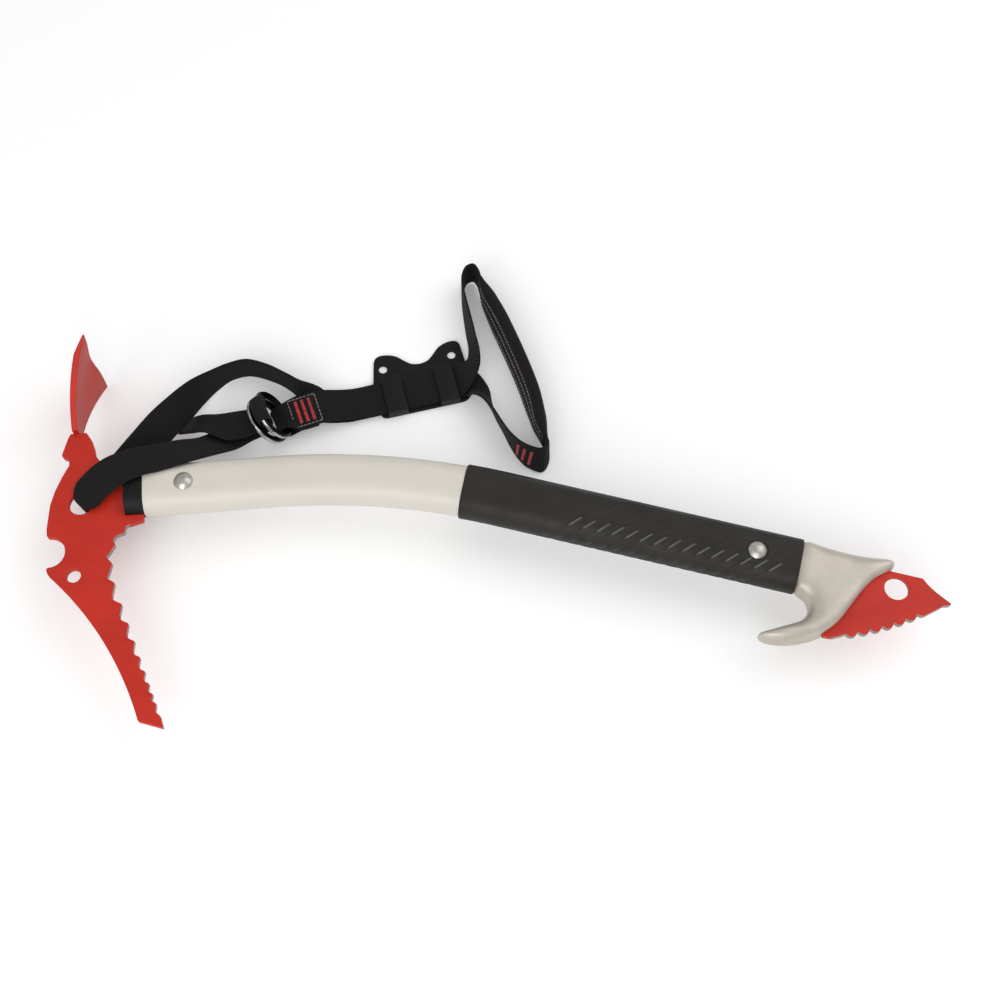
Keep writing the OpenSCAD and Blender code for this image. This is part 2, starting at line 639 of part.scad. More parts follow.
module keeper_tack() {
    tack_at = 11.5;
    tack_t = 0.5;
    tack_w = 1.8;
    tack_l = 14;
    pitch = 4;
    color("#a3262b") placed() translate([ring_at.x, ring_at.y, 0]) rotate(ring_dir)
        translate([tack_at, 0, keeper_z]) rotate([keeper_tilt, 0, 0]) for (k = [-1:1])
            translate([k * pitch - tack_w / 2, -tack_l / 2, web_t / 2 + fit]) cube([tack_w, tack_l, tack_t]);
}

head_plate();
adze_blade();
head_insert();
shaft_tube();
head_rivet();
grip_sleeve();
pommel();
spike_plate();
rear_rivet();
sling_webbing();
wrist_webbing();
wrist_pad();
upper_ring();
lower_ring();
slider_plate();
keeper_tack();
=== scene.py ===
"""Dresses the packed ice climbing tool: painted steel, ribbed rubber, a casting and a woven leash."""

import bpy
import math
from mathutils import Matrix, Vector


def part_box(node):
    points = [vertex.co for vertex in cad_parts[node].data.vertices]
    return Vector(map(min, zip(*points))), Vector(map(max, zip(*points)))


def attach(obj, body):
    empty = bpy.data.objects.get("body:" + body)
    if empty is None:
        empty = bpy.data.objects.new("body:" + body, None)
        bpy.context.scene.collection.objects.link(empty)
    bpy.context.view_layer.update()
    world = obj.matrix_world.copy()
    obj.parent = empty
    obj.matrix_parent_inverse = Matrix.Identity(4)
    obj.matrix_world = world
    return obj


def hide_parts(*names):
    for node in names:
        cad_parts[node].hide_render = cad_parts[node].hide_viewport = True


bl_info = {
    "name": "Ice Tool Dresser",
    "version": (1, 0, 0),
    "blender": (4, 5, 0),
    "location": "3D View > Sidebar > Ice Tool",
    "description": "Builds the looks of an ice climbing tool and its leash around the packed frame",
    "category": "Object",
}

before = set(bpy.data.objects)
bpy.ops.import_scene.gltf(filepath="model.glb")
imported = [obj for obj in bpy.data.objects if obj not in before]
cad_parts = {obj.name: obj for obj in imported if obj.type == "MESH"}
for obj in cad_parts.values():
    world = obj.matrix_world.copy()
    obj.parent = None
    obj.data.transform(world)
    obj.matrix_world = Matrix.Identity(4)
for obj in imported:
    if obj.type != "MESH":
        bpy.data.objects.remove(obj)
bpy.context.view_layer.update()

MM = 0.001

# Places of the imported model, in millimetres: the plan's own origin and the shaft's bow
PLAN_ORIGIN = Vector((2.70076, 22.2652, 0))
MID_HEIGHT = 31
BOW_TOP = PLAN_ORIGIN + Vector((-95, 12.3, MID_HEIGHT))
BOW_RADIUS = 400
FRONT_ANGLE = math.radians(5)
REAR_ANGLE = math.radians(14)
MOUTH = -BOW_RADIUS * FRONT_ANGLE - 70
TUBE_END = BOW_RADIUS * REAR_ANGLE + 168
OVAL_FLAT = 10
OVAL_RADIUS = 10

# Places of the leash in the plan: the strap lock, the buckle rings and the eye of the head
LOCK_AT = Vector((-45, 84.8, 0))
LOCK_TURN = math.radians(14)
LOW_LAYER = 2.9
HIGH_LAYER = 4.8
RINGS_AT = Vector((-125.6, 61.9, 0))
RINGS_TURN = math.radians(20)
RING_RADIUS = 13.5
WIRE_RADIUS = 2
UPPER_LEAN = math.radians(58)
LOWER_LEAN = math.radians(52)
UPPER_FOOT = (0, 7.8)
LOWER_FOOT = (-2.8, 4.5)
KEEPER_HEIGHT = 11.9
KEEPER_TILT = 8
EYE_AT = Vector((-234.482, -3.896, MID_HEIGHT))
PAD_ROUTE = [(26.6, 46.5), (23.9, 56.5), (17.6, 80), (9, 104), (-0.8, 128), (-8.8, 146.5), (-12.2, 154.4)]
PAD_HEIGHT_AT = 11.6

# The maps of the webbing and the pad count in units of this many millimetres
MAP_UNIT = 100

# At scale 1 a wave texture repeats after this many units of its map
WAVE_LENGTH = math.pi / 10

# Cloth, thread, wire, rubber and the casting are shaded smooth over edges up to this many degrees
SOFT_CREASE = 60

# Kinds of shader node that the materials share
NOISE = "ShaderNodeTexNoise"
WAVE = "ShaderNodeTexWave"
RAMP = "ShaderNodeValToRGB"
MATH = "ShaderNodeMath"
BUMP = "ShaderNodeBump"


def metres(name, description, default, low, high):
    """A length in metres, with its limits."""
    return bpy.props.FloatProperty(
        name=name, description=description, default=default, min=low, max=high, unit="LENGTH")


def finish_colour(name, description, default):
    """A colour, as an sRGB hex value."""
    return bpy.props.StringProperty(name=name, description=description, default=default)


class ToolSizes(bpy.types.PropertyGroup):
    """Sizes of the tool's own pieces"""
    plate_bevel: metres("Plate bevel", "Width of the broken edges of the plates", 0.0003, 0.0001, 0.001)
    adze_bevel: metres("Adze bevel", "Width of the broken edges of the adze", 0.0002, 0.0001, 0.001)
    collar_bevel: metres("Collar bevel", "Rounding of the moulded collar", 0.0007, 0.0002, 0.0015)
    rivet_bevel: metres("Rivet bevel", "Rounding of the rivets' rims", 0.0003, 0.0001, 0.0006)
    grip_length: metres("Grip length", "Length of the grip along the shaft", 0.191, 0.17, 0.2)
    grip_wall: metres("Grip wall", "Thickness of the rubber over the tube", 0.001, 0.0008, 0.0016)
    groove_pitch: metres("Groove pitch", "Distance between the grip's slanted grooves", 0.008, 0.006, 0.01)
    groove_depth: metres("Groove depth", "Depth of the grip's slanted grooves", 0.0006, 0.0002, 0.0009)
    casting_voxel: metres("Casting voxel", "Cells that the casting is sculpted in", 0.0006, 0.0004, 0.001)


class LeashSizes(bpy.types.PropertyGroup):
    """Sizes of the leash"""
    webbing_width: metres("Webbing width", "Width of the woven webbing", 0.0205, 0.018, 0.022)
    webbing_thickness: metres("Webbing thickness", "Thickness of the webbing", 0.0016, 0.0012, 0.0018)
    rib_pitch: metres("Rib pitch", "Distance between the ribs across the webbing", 0.0015, 0.001, 0.002)
    rib_height: metres("Rib height", "Height of the ribs across the webbing", 0.0002, 0.00005, 0.0003)
    pad_height: metres("Pad height", "Height of the wrist pad", 0.023, 0.02, 0.025)
    pad_thickness: metres("Pad thickness", "Thickness of the wrist pad in its middle", 0.008, 0.006, 0.01)
    thread_radius: metres("Thread radius", "Radius of the sewing thread", 0.00028, 0.0002, 0.0004)
    lock_bevel: metres("Strap lock bevel", "Rounding of the moulded strap lock", 0.0006, 0.0002, 0.0009)


class Finishes(bpy.types.PropertyGroup):
    """Colours of the finishes, as sRGB hex values"""
    red_enamel: finish_colour("Red enamel", "Powder coat of the plates", "bc2819")
    ground_steel: finish_colour("Ground steel", "Bare edges of the teeth", "9c8f88")
    tube_paint: finish_colour("Tube paint", "Satin paint of the shaft", "d4cfc4")
    black_nylon: finish_colour("Black nylon", "Collar and strap lock", "0d0c0c")
    grip_rubber: finish_colour("Grip rubber", "Rubber of the grip", "262421")
    # Pale colour painted on the grip's crests and bottom grooves as a highlight
    grip_glint: finish_colour("Grip glint", "Pale crests of the grip", "71706e")
    cast_alloy: finish_colour("Cast alloy", "Bead-blasted casting", "c3bcb0")
    rivet_steel: finish_colour("Rivet steel", "Bright rivet heads", "c4c2bb")
    black_webbing: finish_colour("Black webbing", "Yarn of the leash", "1b1a1a")
    pad_cloth: finish_colour("Pad cloth", "Cloth of the wrist pad", "1a1716")
    ring_steel: finish_colour("Ring steel", "Blackened rings", "242426")
    red_thread: finish_colour("Red thread", "Bar tacks", "b02a30")
    grey_thread: finish_colour("Grey thread", "Seams of the pad and the straps", "85817d")
    floor_white: finish_colour("Floor white", "Paper under the tool", "f2f2f2")


def linear(hex_colour):
    """Linear colour of an sRGB hex value."""
    parts = [int(hex_colour[i:i + 2], 16) / 255 for i in (0, 2, 4)]
    return tuple(c / 12.92 if c <= 0.04045 else ((c + 0.055) / 1.055) ** 2.4 for c in parts) + (1.0,)


def shade(hex_colour, factor):
    """Linear colour of a hex value, made lighter or darker by a factor."""
    red, green, blue, alpha = linear(hex_colour)
    return min(red * factor, 1), min(green * factor, 1), min(blue * factor, 1), alpha


def tones(hex_colour, low, high, start, end):
    """Colour stops from a darker to a lighter shade of a hex value."""
    return (start, shade(hex_colour, low)), (end, shade(hex_colour, high))


def greys(low, high, start=0, end=1):
    """Colour stops from one grey level to another."""
    return (start, (low, low, low, 1)), (end, (high, high, high, 1))


def grain(size):
    """Scale of a texture on Object coordinates whose grain has this size in mm."""
    return 1 / (size * MM)


def map_grain(size):
    """Scale of a texture on a piece's own map whose grain has this size in mm."""
    return MAP_UNIT / size


def feed(node, inputs):
    """Sets each named input of a node to a value, or links it to the socket given."""
    for name, value in inputs.items():
        if isinstance(value, bpy.types.NodeSocket):
            node.id_data.links.new(value, node.inputs[name])
        else:
            node.inputs[name].default_value = value


def add(tree, kind, inputs=None, out=0, stops=(), **settings):
    """Adds a node with its settings, colour stops and inputs, and returns one of its outputs."""
    node = tree.nodes.new(kind)
    for name, value in settings.items():
        setattr(node, name, value)
    for index, (position, colour) in enumerate(stops):
        node.color_ramp.elements[index].position = position
        node.color_ramp.elements[index].color = colour
    feed(node, inputs or {})
    return node.outputs[out]


def new_material(name, values):
    """A material, its node tree and its shader, with uniform values set on the shader's own sockets."""
    material = bpy.data.materials.new(name)
    material.use_nodes = True
    shader = material.node_tree.nodes["Principled BSDF"]
    feed(shader, values)
    return material, material.node_tree, shader


def red_enamel():
    """Powder coat on forged steel: satin, with a fine orange peel and a slightly uneven tone."""
    colour = bpy.context.scene.ice_tool_finishes.red_enamel
    material, tree, shader = new_material("powder_coated_steel", {"Specular IOR Level": 0.3})
    place = add(tree, "ShaderNodeTexCoord", out="Object")
    # Clouds of 20 mm and an orange peel of 0.9 mm
    clouds = add(tree, NOISE, {"Vector": place, "Scale": grain(20), "Detail": 3})
    peel = add(tree, NOISE, {"Vector": place, "Scale": grain(0.909), "Detail": 1})
    feed(shader, {
        "Base Color": add(tree, RAMP, {"Fac": clouds}, stops=tones(colour, 0.93, 1.06, 0.35, 0.65)),
        "Roughness": add(tree, RAMP, {"Fac": clouds}, stops=greys(0.4, 0.5)),
        "Normal": add(tree, BUMP, {"Height": peel, "Strength": 0.12, "Distance": 0.0001})})
    return material


def ground_steel():
    """Tooth edges that ice has worn to bare steel: grey, with fine filing marks."""
    colour = bpy.context.scene.ice_tool_finishes.ground_steel
    material, tree, shader = new_material("bare_tooth_steel", {"Metallic": 0.8})
    place = add(tree, "ShaderNodeTexCoord", out="Object")
    # Filing marks of 0.5 mm, drawn out along the depth of the plate
    stretched = add(tree, "ShaderNodeMapping", {"Vector": place, "Scale": (1, 1, 0.15)})
    marks = add(tree, NOISE, {"Vector": stretched, "Scale": grain(0.5), "Detail": 2})
    feed(shader, {
        "Base Color": add(tree, RAMP, {"Fac": marks}, stops=tones(colour, 0.7, 1.15, 0.3, 0.7)),
        "Roughness": add(tree, RAMP, {"Fac": marks}, stops=greys(0.35, 0.55))})
    return material


def tube_paint():
    """Satin paint on drawn aluminium: pale, with a faint metal flake."""
    colour = bpy.context.scene.ice_tool_finishes.tube_paint
    material, tree, shader = new_material(
        "satin_painted_aluminium", {"Coat Weight": 0.15, "Coat Roughness": 0.25})
    place = add(tree, "ShaderNodeTexCoord", out="Object")
    # Flakes of 0.6 mm, coarser than real ones so that they show, and faint stains of 31 mm
    flakes = add(tree, NOISE, {"Vector": place, "Scale": grain(0.588), "Detail": 1})
    stains = add(tree, NOISE, {"Vector": place, "Scale": grain(31.25), "Detail": 4})
    speckled = add(tree, RAMP, {"Fac": flakes}, stops=tones(colour, 0.95, 1.03, 0.3, 0.7))
    stained = add(tree, RAMP, {"Fac": stains}, stops=tones(colour, 0.92, 1.02, 0.35, 0.6))
    feed(shader, {
        "Base Color": add(tree, "ShaderNodeMix", {"Factor": 0.35, 6: speckled, 7: stained}, 2,
                          data_type="RGBA"),
        "Roughness": add(tree, RAMP, {"Fac": stains}, stops=greys(0.36, 0.46))})
    return material


def black_nylon():
    """Glass-filled nylon from a spark-eroded mould: black, with a fine even grain."""
    colour = bpy.context.scene.ice_tool_finishes.black_nylon
    material, tree, shader = new_material("moulded_nylon", {"Specular IOR Level": 0.22})
    place = add(tree, "ShaderNodeTexCoord", out="Object")
    # Mould grain of 0.5 mm
    specks = add(tree, NOISE, {"Vector": place, "Scale": grain(0.5), "Detail": 2})
    feed(shader, {
        "Base Color": add(tree, RAMP, {"Fac": specks}, stops=tones(colour, 0.8, 1.3, 0.3, 0.7)),
        "Roughness": add(tree, RAMP, {"Fac": specks}, stops=greys(0.42, 0.58)),
        "Normal": add(tree, BUMP, {"Height": specks, "Strength": 0.25, "Distance": 0.0001})})
    return material


def grip_rubber():
    """Moulded rubber: dark warm grey, dull, with a fine grain, rubbed patches and a painted highlight on
    its crests.
    """
    finishes = bpy.context.scene.ice_tool_finishes
    material, tree, shader = new_material("moulded_rubber", {"Specular IOR Level": 0.25})
    place = add(tree, "ShaderNodeTexCoord", out="Object")
    # Grain of 0.6 mm and rubbed patches of 15 mm
    specks = add(tree, NOISE, {"Vector": place, "Scale": grain(0.625), "Detail": 2})
    patches = add(tree, NOISE, {"Vector": place, "Scale": grain(15.38), "Detail": 3})
    plain = add(tree, RAMP, {"Fac": patches}, stops=tones(finishes.grip_rubber, 0.88, 1.15, 0.35, 0.7))
    # The attribute marks the crests and the grooves at the bottom, where a pale colour is painted as a
    # highlight
    crests = add(tree, "ShaderNodeAttribute", out="Fac", attribute_name="painted_glint")
    pale = linear(finishes.grip_glint)
    feed(shader, {
        "Base Color": add(tree, "ShaderNodeMix", {"Factor": crests, 6: plain, 7: pale}, 2,
                          data_type="RGBA"),
        "Roughness": add(tree, RAMP, {"Fac": patches}, stops=greys(0.56, 0.44, 0.3, 0.7)),
        "Normal": add(tree, BUMP, {"Height": specks, "Strength": 0.2, "Distance": 0.0001})})
    return material


def cast_alloy():
    """Bead-blasted aluminium casting: champagne grey, satin, with a fine even pitting."""
    colour = bpy.context.scene.ice_tool_finishes.cast_alloy
    material, tree, shader = new_material("bead_blasted_aluminium", {"Metallic": 0.7})
    place = add(tree, "ShaderNodeTexCoord", out="Object")
    # Pits of 0.7 mm, drawn coarser than real ones so that they show, and casting clouds of 12.5 mm
    pits = add(tree, NOISE, {"Vector": place, "Scale": grain(0.714), "Detail": 2})
    clouds = add(tree, NOISE, {"Vector": place, "Scale": grain(12.5), "Detail": 3})
    feed(shader, {
        "Base Color": add(tree, RAMP, {"Fac": clouds}, stops=tones(colour, 0.9, 1.03, 0.35, 0.65)),
        "Roughness": add(tree, RAMP, {"Fac": pits}, stops=greys(0.42, 0.56)),
        "Normal": add(tree, BUMP, {"Height": pits, "Strength": 0.14, "Distance": 0.0001})})
    return material


def rivet_steel():
    """Cold-headed stainless rivet: bright, with light scuffs."""
    colour = bpy.context.scene.ice_tool_finishes.rivet_steel
    material, tree, shader = new_material("bright_rivet_steel", {"Metallic": 1})
    place = add(tree, "ShaderNodeTexCoord", out="Object")
    # Scuffs of 2 mm with fine scratches in them
    scuffs = add(tree, NOISE, {"Vector": place, "Scale": grain(2), "Detail": 5, "Roughness": 0.65})
    feed(shader, {
        "Base Color": add(tree, RAMP, {"Fac": scuffs}, stops=tones(colour, 0.7, 1.05, 0.35, 0.62)),
        "Roughness": add(tree, RAMP, {"Fac": scuffs}, stops=greys(0.45, 0.28, 0.35, 0.62))})
    return material


def woven_webbing():
    """Flat woven nylon: black yarn with a rib across the tape, and a painted highlight on the crests,
    broken up by fibre noise.
    """
    colour = bpy.context.scene.ice_tool_finishes.black_webbing
    pitch = bpy.context.scene.ice_tool_leash.rib_pitch
    material, tree, shader = new_material("woven_nylon", {
        "Roughness": 0.78, "Specular IOR Level": 0.14, "Sheen Weight": 0.03, "Sheen Roughness": 0.5})
    # Ribs across the tape, yarn of 0.8 mm along it and loose fibres of 0.77 mm; the map's v runs along it
    place = add(tree, "ShaderNodeUVMap")
    ribs = add(tree, WAVE, {"Vector": place, "Scale": WAVE_LENGTH * map_grain(pitch / MM)}, "Fac",
               bands_direction="Y")
    ends = add(tree, WAVE, {"Vector": place, "Scale": WAVE_LENGTH * map_grain(0.8)}, "Fac",
               bands_direction="X")
    fibres = add(tree, NOISE, {"Vector": place, "Scale": map_grain(0.769), "Detail": 3, "Roughness": 0.7})
    crest = add(tree, MATH, {0: ribs, 1: ends}, operation="MULTIPLY")
    # The crests of ribs and yarn, broken up by the fibre noise, are painted lighter as a highlight
    lit = add(tree, MATH, {0: crest, 1: fibres}, operation="MULTIPLY")
    feed(shader, {
        # """Height of the rubber over its plain surface, and how strongly a pale highlight is painted
        # there."""
        "Base Color": add(tree, RAMP, {"Fac": lit}, stops=tones(colour, 0.55, 2.6, 0.05, 0.6)),
        "Normal": add(tree, BUMP, {"Height": crest, "Strength": 0.5, "Distance": 0.0002})})
    return material


def pad_cloth():
    """Brushed polyester over foam: brown-black, soft, with a fine cross weave."""
    colour = bpy.context.scene.ice_tool_finishes.pad_cloth
    material, tree, shader = new_material("brushed_polyester", {
        "Roughness": 0.85, "Specular IOR Level": 0.15, "Sheen Weight": 0.06, "Sheen Roughness": 0.5})
    place = add(tree, "ShaderNodeUVMap")
    # Threads of 0.9 mm both ways, coarser than real ones so that they show, and a nap of 1.7 mm
    threads = WAVE_LENGTH * map_grain(0.8976)
    across = add(tree, WAVE, {"Vector": place, "Scale": threads}, "Fac", bands_direction="X")
    along = add(tree, WAVE, {"Vector": place, "Scale": threads}, "Fac", bands_direction="Y")
    nap = add(tree, NOISE, {"Vector": place, "Scale": map_grain(1.667), "Detail": 4})
    weave = add(tree, MATH, {0: across, 1: along}, operation="MULTIPLY")
    tone = add(tree, MATH, {0: weave, 1: nap}, operation="MULTIPLY")
    feed(shader, {
        "Base Color": add(tree, RAMP, {"Fac": tone}, stops=tones(colour, 0.8, 1.5, 0, 0.6)),
        "Normal": add(tree, BUMP, {"Height": weave, "Strength": 0.3, "Distance": 0.0001})})
    return material


def ring_steel():
    """Blackened steel wire: dark, with bright glints painted in spots along its outermost line as a painted
    reflection.
    """
    colour = bpy.context.scene.ice_tool_finishes.ring_steel
    material, tree, shader = new_material("blackened_steel", {"Metallic": 1})
    place = add(tree, "ShaderNodeTexCoord", out="Object")
    # Spots of 4 mm of painted reflection along the outermost line of the wire, which the attribute marks
    spots = add(tree, NOISE, {"Vector": place, "Scale": grain(4), "Detail": 4, "Roughness": 0.6})
    rim = add(tree, "ShaderNodeAttribute", out="Fac", attribute_name="painted_glint")
    painted_glint = add(tree, MATH, {0: spots, 1: rim}, operation="MULTIPLY")
    # In these spots the base colour goes up to white: a painted reflection
    feed(shader, {
        "Base Color": add(tree, RAMP, {"Fac": painted_glint}, stops=tones(colour, 0.7, 26, 0.22, 0.5)),
        "Roughness": add(tree, RAMP, {"Fac": spots}, stops=greys(0.24, 0.4, 0.4, 0.7))})
    return material


def sewing_thread(name, colour):
    """Bonded polyester thread: satin, its tone a little uneven from stitch to stitch."""
    material, tree, shader = new_material(name, {"Roughness": 0.6, "Sheen Weight": 0.2})
    place = add(tree, "ShaderNodeTexCoord", out="Object")
    # Changes of tone over 1.5 mm, about one stitch
    tone = add(tree, NOISE, {"Vector": place, "Scale": grain(1.538), "Detail": 2})
    feed(shader, {
        "Base Color": add(tree, RAMP, {"Fac": tone}, stops=tones(colour, 0.7, 1.25, 0.3, 0.7))})
    return material


def activate(piece):
    """Makes a piece the only selected and active object."""
    bpy.ops.object.select_all(action="DESELECT")
    piece.select_set(True)
    bpy.context.view_layer.objects.active = piece


def cad_copy(node, name):
    """A merged copy of a CAD node, with its flat faces joined and none of the frame's marks."""
    same_place = 0.01 * MM
    same_face = math.radians(0.4)
    activate(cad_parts[node])
    bpy.ops.object.duplicate()
    piece = bpy.context.active_object
    piece.name = name
    piece.data.name = name
    piece.parent = None
    for mark in [key for key in piece.keys() if key.startswith("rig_")]:
        del piece[mark]
    piece.data.materials.clear()
    bpy.ops.object.mode_set(mode="EDIT")
    bpy.ops.mesh.select_all(action="SELECT")
    bpy.ops.mesh.customdata_custom_splitnormals_clear()
    bpy.ops.mesh.remove_doubles(threshold=same_place)
    bpy.ops.mesh.dissolve_limited(angle_limit=same_face)
    bpy.ops.object.mode_set(mode="OBJECT")
    return piece


def face_outlines(piece):
    """Outlines of the flat underside of a plate's copy, each a closed list of plan points in mm."""
    facing_down = -0.99
    flush = 0.1 * MM
    bottom = min(vertex.co.z for vertex in piece.data.vertices)
    uses = {}
    for face in piece.data.polygons:
        if face.normal.z < facing_down and face.center.z < bottom + flush:
            for key in face.edge_keys:
                uses[key] = uses.get(key, 0) + 1
    beside = {}
    for a, b in [key for key, count in uses.items() if count == 1]:
        beside.setdefault(a, []).append(b)
        beside.setdefault(b, []).append(a)
    outlines = []
    while beside:
        start = next(iter(beside))
        outline, here = [start], start
        while beside[here]:
            there = beside[here].pop()
            beside[there].remove(here)
            if there != start:
                outline.append(there)
            here = there
        for index in outline:
            beside.pop(index, None)
        outlines.append([piece.data.vertices[i].co.to_2d() / MM for i in outline])
    return outlines


def soften(outline, reach):
    """Rounds the corners of a closed outline.

    For a corner's place, and whether it juts out, reach gives how far its rounding runs and how far its
    middle is pushed back towards the corner: 0 for a plain rounding, 1 for a round bottom at the corner's
    own depth.
    """
    sharpest_curve = math.radians(14)
    longest_run = 0.46
    spare = 0.05
    count = len(outline)
    sides = list(zip(outline, outline[1:] + outline[:1]))
    area = sum(a.x * b.y - a.y * b.x for a, b in sides)
    starts = [0.0]
    for a, b in sides:
        starts.append(starts[-1] + (b - a).length)
    total = starts.pop()

    def bend(i):
        before = outline[i] - outline[i - 1]
        after = outline[(i + 1) % count] - outline[i]
        turn = math.atan2(before.x * after.y - before.y * after.x, before.dot(after))
        return math.copysign(1, area) * turn

    def place(way):
        way %= total
        i = max(k for k in range(count) if starts[k] <= way)
        a, b = sides[i]
        return a + (b - a) * (way - starts[i]) / max((b - a).length, 1e-9)

    corners = [i for i in range(count) if abs(bend(i)) > sharpest_curve]
    if not corners:
        return outline
    cuts, pushes = [], []
    for n, i in enumerate(corners):
        before = (starts[i] - starts[corners[n - 1]]) % total or total
        after = (starts[corners[(n + 1) % len(corners)]] - starts[i]) % total or total
        run, push = reach(outline[i], bend(i) > 0)
        cuts.append(min(run, longest_run * before, longest_run * after))
        pushes.append(push)
    softened = []
    for n, i in enumerate(corners):
        first = place(starts[i] - cuts[n])
        last = place(starts[i] + cuts[n])
        pull = outline[i] + (outline[i] - (first + last) / 2) * pushes[n]
        parts = 9 if pushes[n] else 5
        for k in range(parts + 1):
            t = k / parts
            softened.append(first * (1 - t) ** 2 + pull * 2 * t * (1 - t) + last * t * t)
        following = (n + 1) % len(corners)
        span = (starts[corners[following]] - starts[i]) % total or total
        for k in range(1, count):
            way = (starts[(i + k) % count] - starts[i]) % total
            if cuts[n] + spare < way < span - cuts[following] - spare:
                softened.append(outline[(i + k) % count])
            if (i + k) % count == corners[following]:
                break
    return softened


def link(name, data):
    """Puts data into the scene as an object of its own."""
    made = bpy.data.objects.new(name, data)
    bpy.context.scene.collection.objects.link(made)
    return made


def turn_outwards(piece, merge=None):
    """Turns all faces of a closed piece outwards, after joining points that lie closer than merge."""
    activate(piece)
    bpy.ops.object.mode_set(mode="EDIT")
    bpy.ops.mesh.select_all(action="SELECT")
    if merge:
        bpy.ops.mesh.remove_doubles(threshold=merge)
    bpy.ops.mesh.normals_make_consistent(inside=False)
    bpy.ops.object.mode_set(mode="OBJECT")


def plate(name, outlines, bottom, top, edge):
    """A plate between two heights with rounded rims, along outlines in mm; inner ones are its holes."""
    curve = bpy.data.curves.new(name, "CURVE")
    curve.dimensions = "2D"
    curve.fill_mode = "BOTH"
    curve.extrude = (top - bottom) / 2 - edge
    curve.bevel_depth = edge
    curve.bevel_resolution = 2
    curve.offset = -edge
    for points in outlines:
        spline = curve.splines.new("POLY")
        spline.points.add(len(points) - 1)
        for point, place in zip(spline.points, points):
            point.co = (place.x * MM, place.y * MM, 0, 1)
        spline.use_cyclic_u = True
    activate(link(name, curve))
    bpy.ops.object.convert(target="MESH")
    piece = bpy.context.active_object
    piece.data.transform(Matrix.Translation((0, 0, (bottom + top) / 2)))
    turn_outwards(piece, merge=0.002 * MM)
    smooth(piece)
    return piece


def flat_plate(node, name, reach, edge, cut=None):
    """A plate along the underside of a CAD node, with any further cut, rounded corners and broken edges."""
    low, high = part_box(node)
    copy = cad_copy(node, name)
    outlines = [soften(cut(outline) if cut else outline, reach) for outline in face_outlines(copy)]
    bpy.data.objects.remove(copy)
    return plate(name, outlines, low[2], high[2], edge)


def grid_piece(name, rows, closed_rows=False, uv=None):
    """A mesh of quads over rows of points in mm, closed round each row; open rows get end faces."""
    wide = len(rows[0])
    count = len(rows)
    faces = []
    for i in range(count if closed_rows else count - 1):
        here, there = i * wide, (i + 1) % count * wide
        for j in range(wide):
            k = (j + 1) % wide
            faces.append((here + j, here + k, there + k, there + j))
    if not closed_rows:
        faces.append(tuple(range(wide - 1, -1, -1)))
        faces.append(tuple((count - 1) * wide + j for j in range(wide)))
    mesh = bpy.data.meshes.new(name)
    mesh.from_pydata([point * MM for row in rows for point in row], [], faces)
    if uv:
        layer = mesh.uv_layers.new(name="weave")
        for face in mesh.polygons:
            for loop in face.loop_indices:
                i, j = divmod(mesh.loops[loop].vertex_index, wide)
                layer.data[loop].uv = uv[i][j]
    piece = link(name, mesh)
    turn_outwards(piece)
    return piece


def bevel(piece, width, segments=2, angle=35):
    """Breaks the sharp edges of a piece."""
    activate(piece)
    modifier = piece.modifiers.new("broken edges", "BEVEL")
    modifier.width = width
    modifier.segments = segments
    modifier.limit_method = "ANGLE"
    modifier.angle_limit = math.radians(angle)
    modifier.harden_normals = False
    bpy.ops.object.modifier_apply(modifier=modifier.name)


def smooth(piece, angle=35):
    """Smooth shading, with creases at sharper edges."""
    activate(piece)
    bpy.ops.object.shade_smooth_by_angle(angle=math.radians(angle))


def dress(piece, material, body, slot, *nodes):
    """Gives a piece its material and the body it rides on, and hides the CAD nodes it stands for; the
    finish slot is not used.
    """
    piece.data.materials.append(material)
    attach(piece, body)
    if nodes:
        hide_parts(*nodes)
    return piece


def shaft_axis(distance):
    """Place, direction and up direction of the shaft's axis, by the distance behind the top of its bow."""
    angle = min(max(distance / BOW_RADIUS, -FRONT_ANGLE), REAR_ANGLE)
    along = Vector((math.cos(angle), -math.sin(angle), 0))
    up = Vector((math.sin(angle), math.cos(angle), 0))
    on_bow = BOW_TOP + (up - Vector((0, 1, 0))) * BOW_RADIUS
    return on_bow + along * (distance - BOW_RADIUS * angle), along, up


def seen_from(distance, point):
    """A point in metres as seen from a place on the shaft: behind it, above it and to the side, in mm."""
    place, along, up = shaft_axis(distance)
    apart = point / MM - place
    return apart.dot(along), apart.dot(up), apart.z


def bare_edges(piece, distance, wear_and_glint):
    """Bares the steel of a plate's rim where the given test says so of a place, seen from a place on the
    shaft.
    """
    upright = 0.5
    piece.data.materials.append(ground_steel())
    for face in piece.data.polygons:
        x, y, _ = seen_from(distance, face.center)
        if abs(face.normal.z) < upright and wear_and_glint(x, y):
            face.material_index = 1


def oval_point(share, grow):
    """Height, depth and outward direction on the tube's oval section, by the share of the way round."""
    radius = OVAL_RADIUS + grow
    arc = math.pi * radius
    way = share * 2 * (OVAL_FLAT + arc)
    side = 1
    if way >= OVAL_FLAT + arc:
        way -= OVAL_FLAT + arc
        side = -1
    if way < OVAL_FLAT:
        return side * (way - OVAL_FLAT / 2), side * radius, 0, side
    angle = (way - OVAL_FLAT) / radius
    high, deep = side * math.sin(angle), side * math.cos(angle)
    return side * OVAL_FLAT / 2 + radius * high, radius * deep, high, deep


def oval_row(distance, grow, count):
    """Points round the tube's section at a place on the shaft, grown by a distance."""
    place, _, up = shaft_axis(distance)
    row = []
    for k in range(count):
        high, deep, _, _ = oval_point(k / count, grow)
        row.append(place + up * high + Vector((0, 0, deep)))
    return row


def step_up(value, low, high):
    """Smooth step from 0 at low to 1 at high."""
    t = min(max((value - low) / (high - low), 0), 1)
    return t * t * (3 - 2 * t)


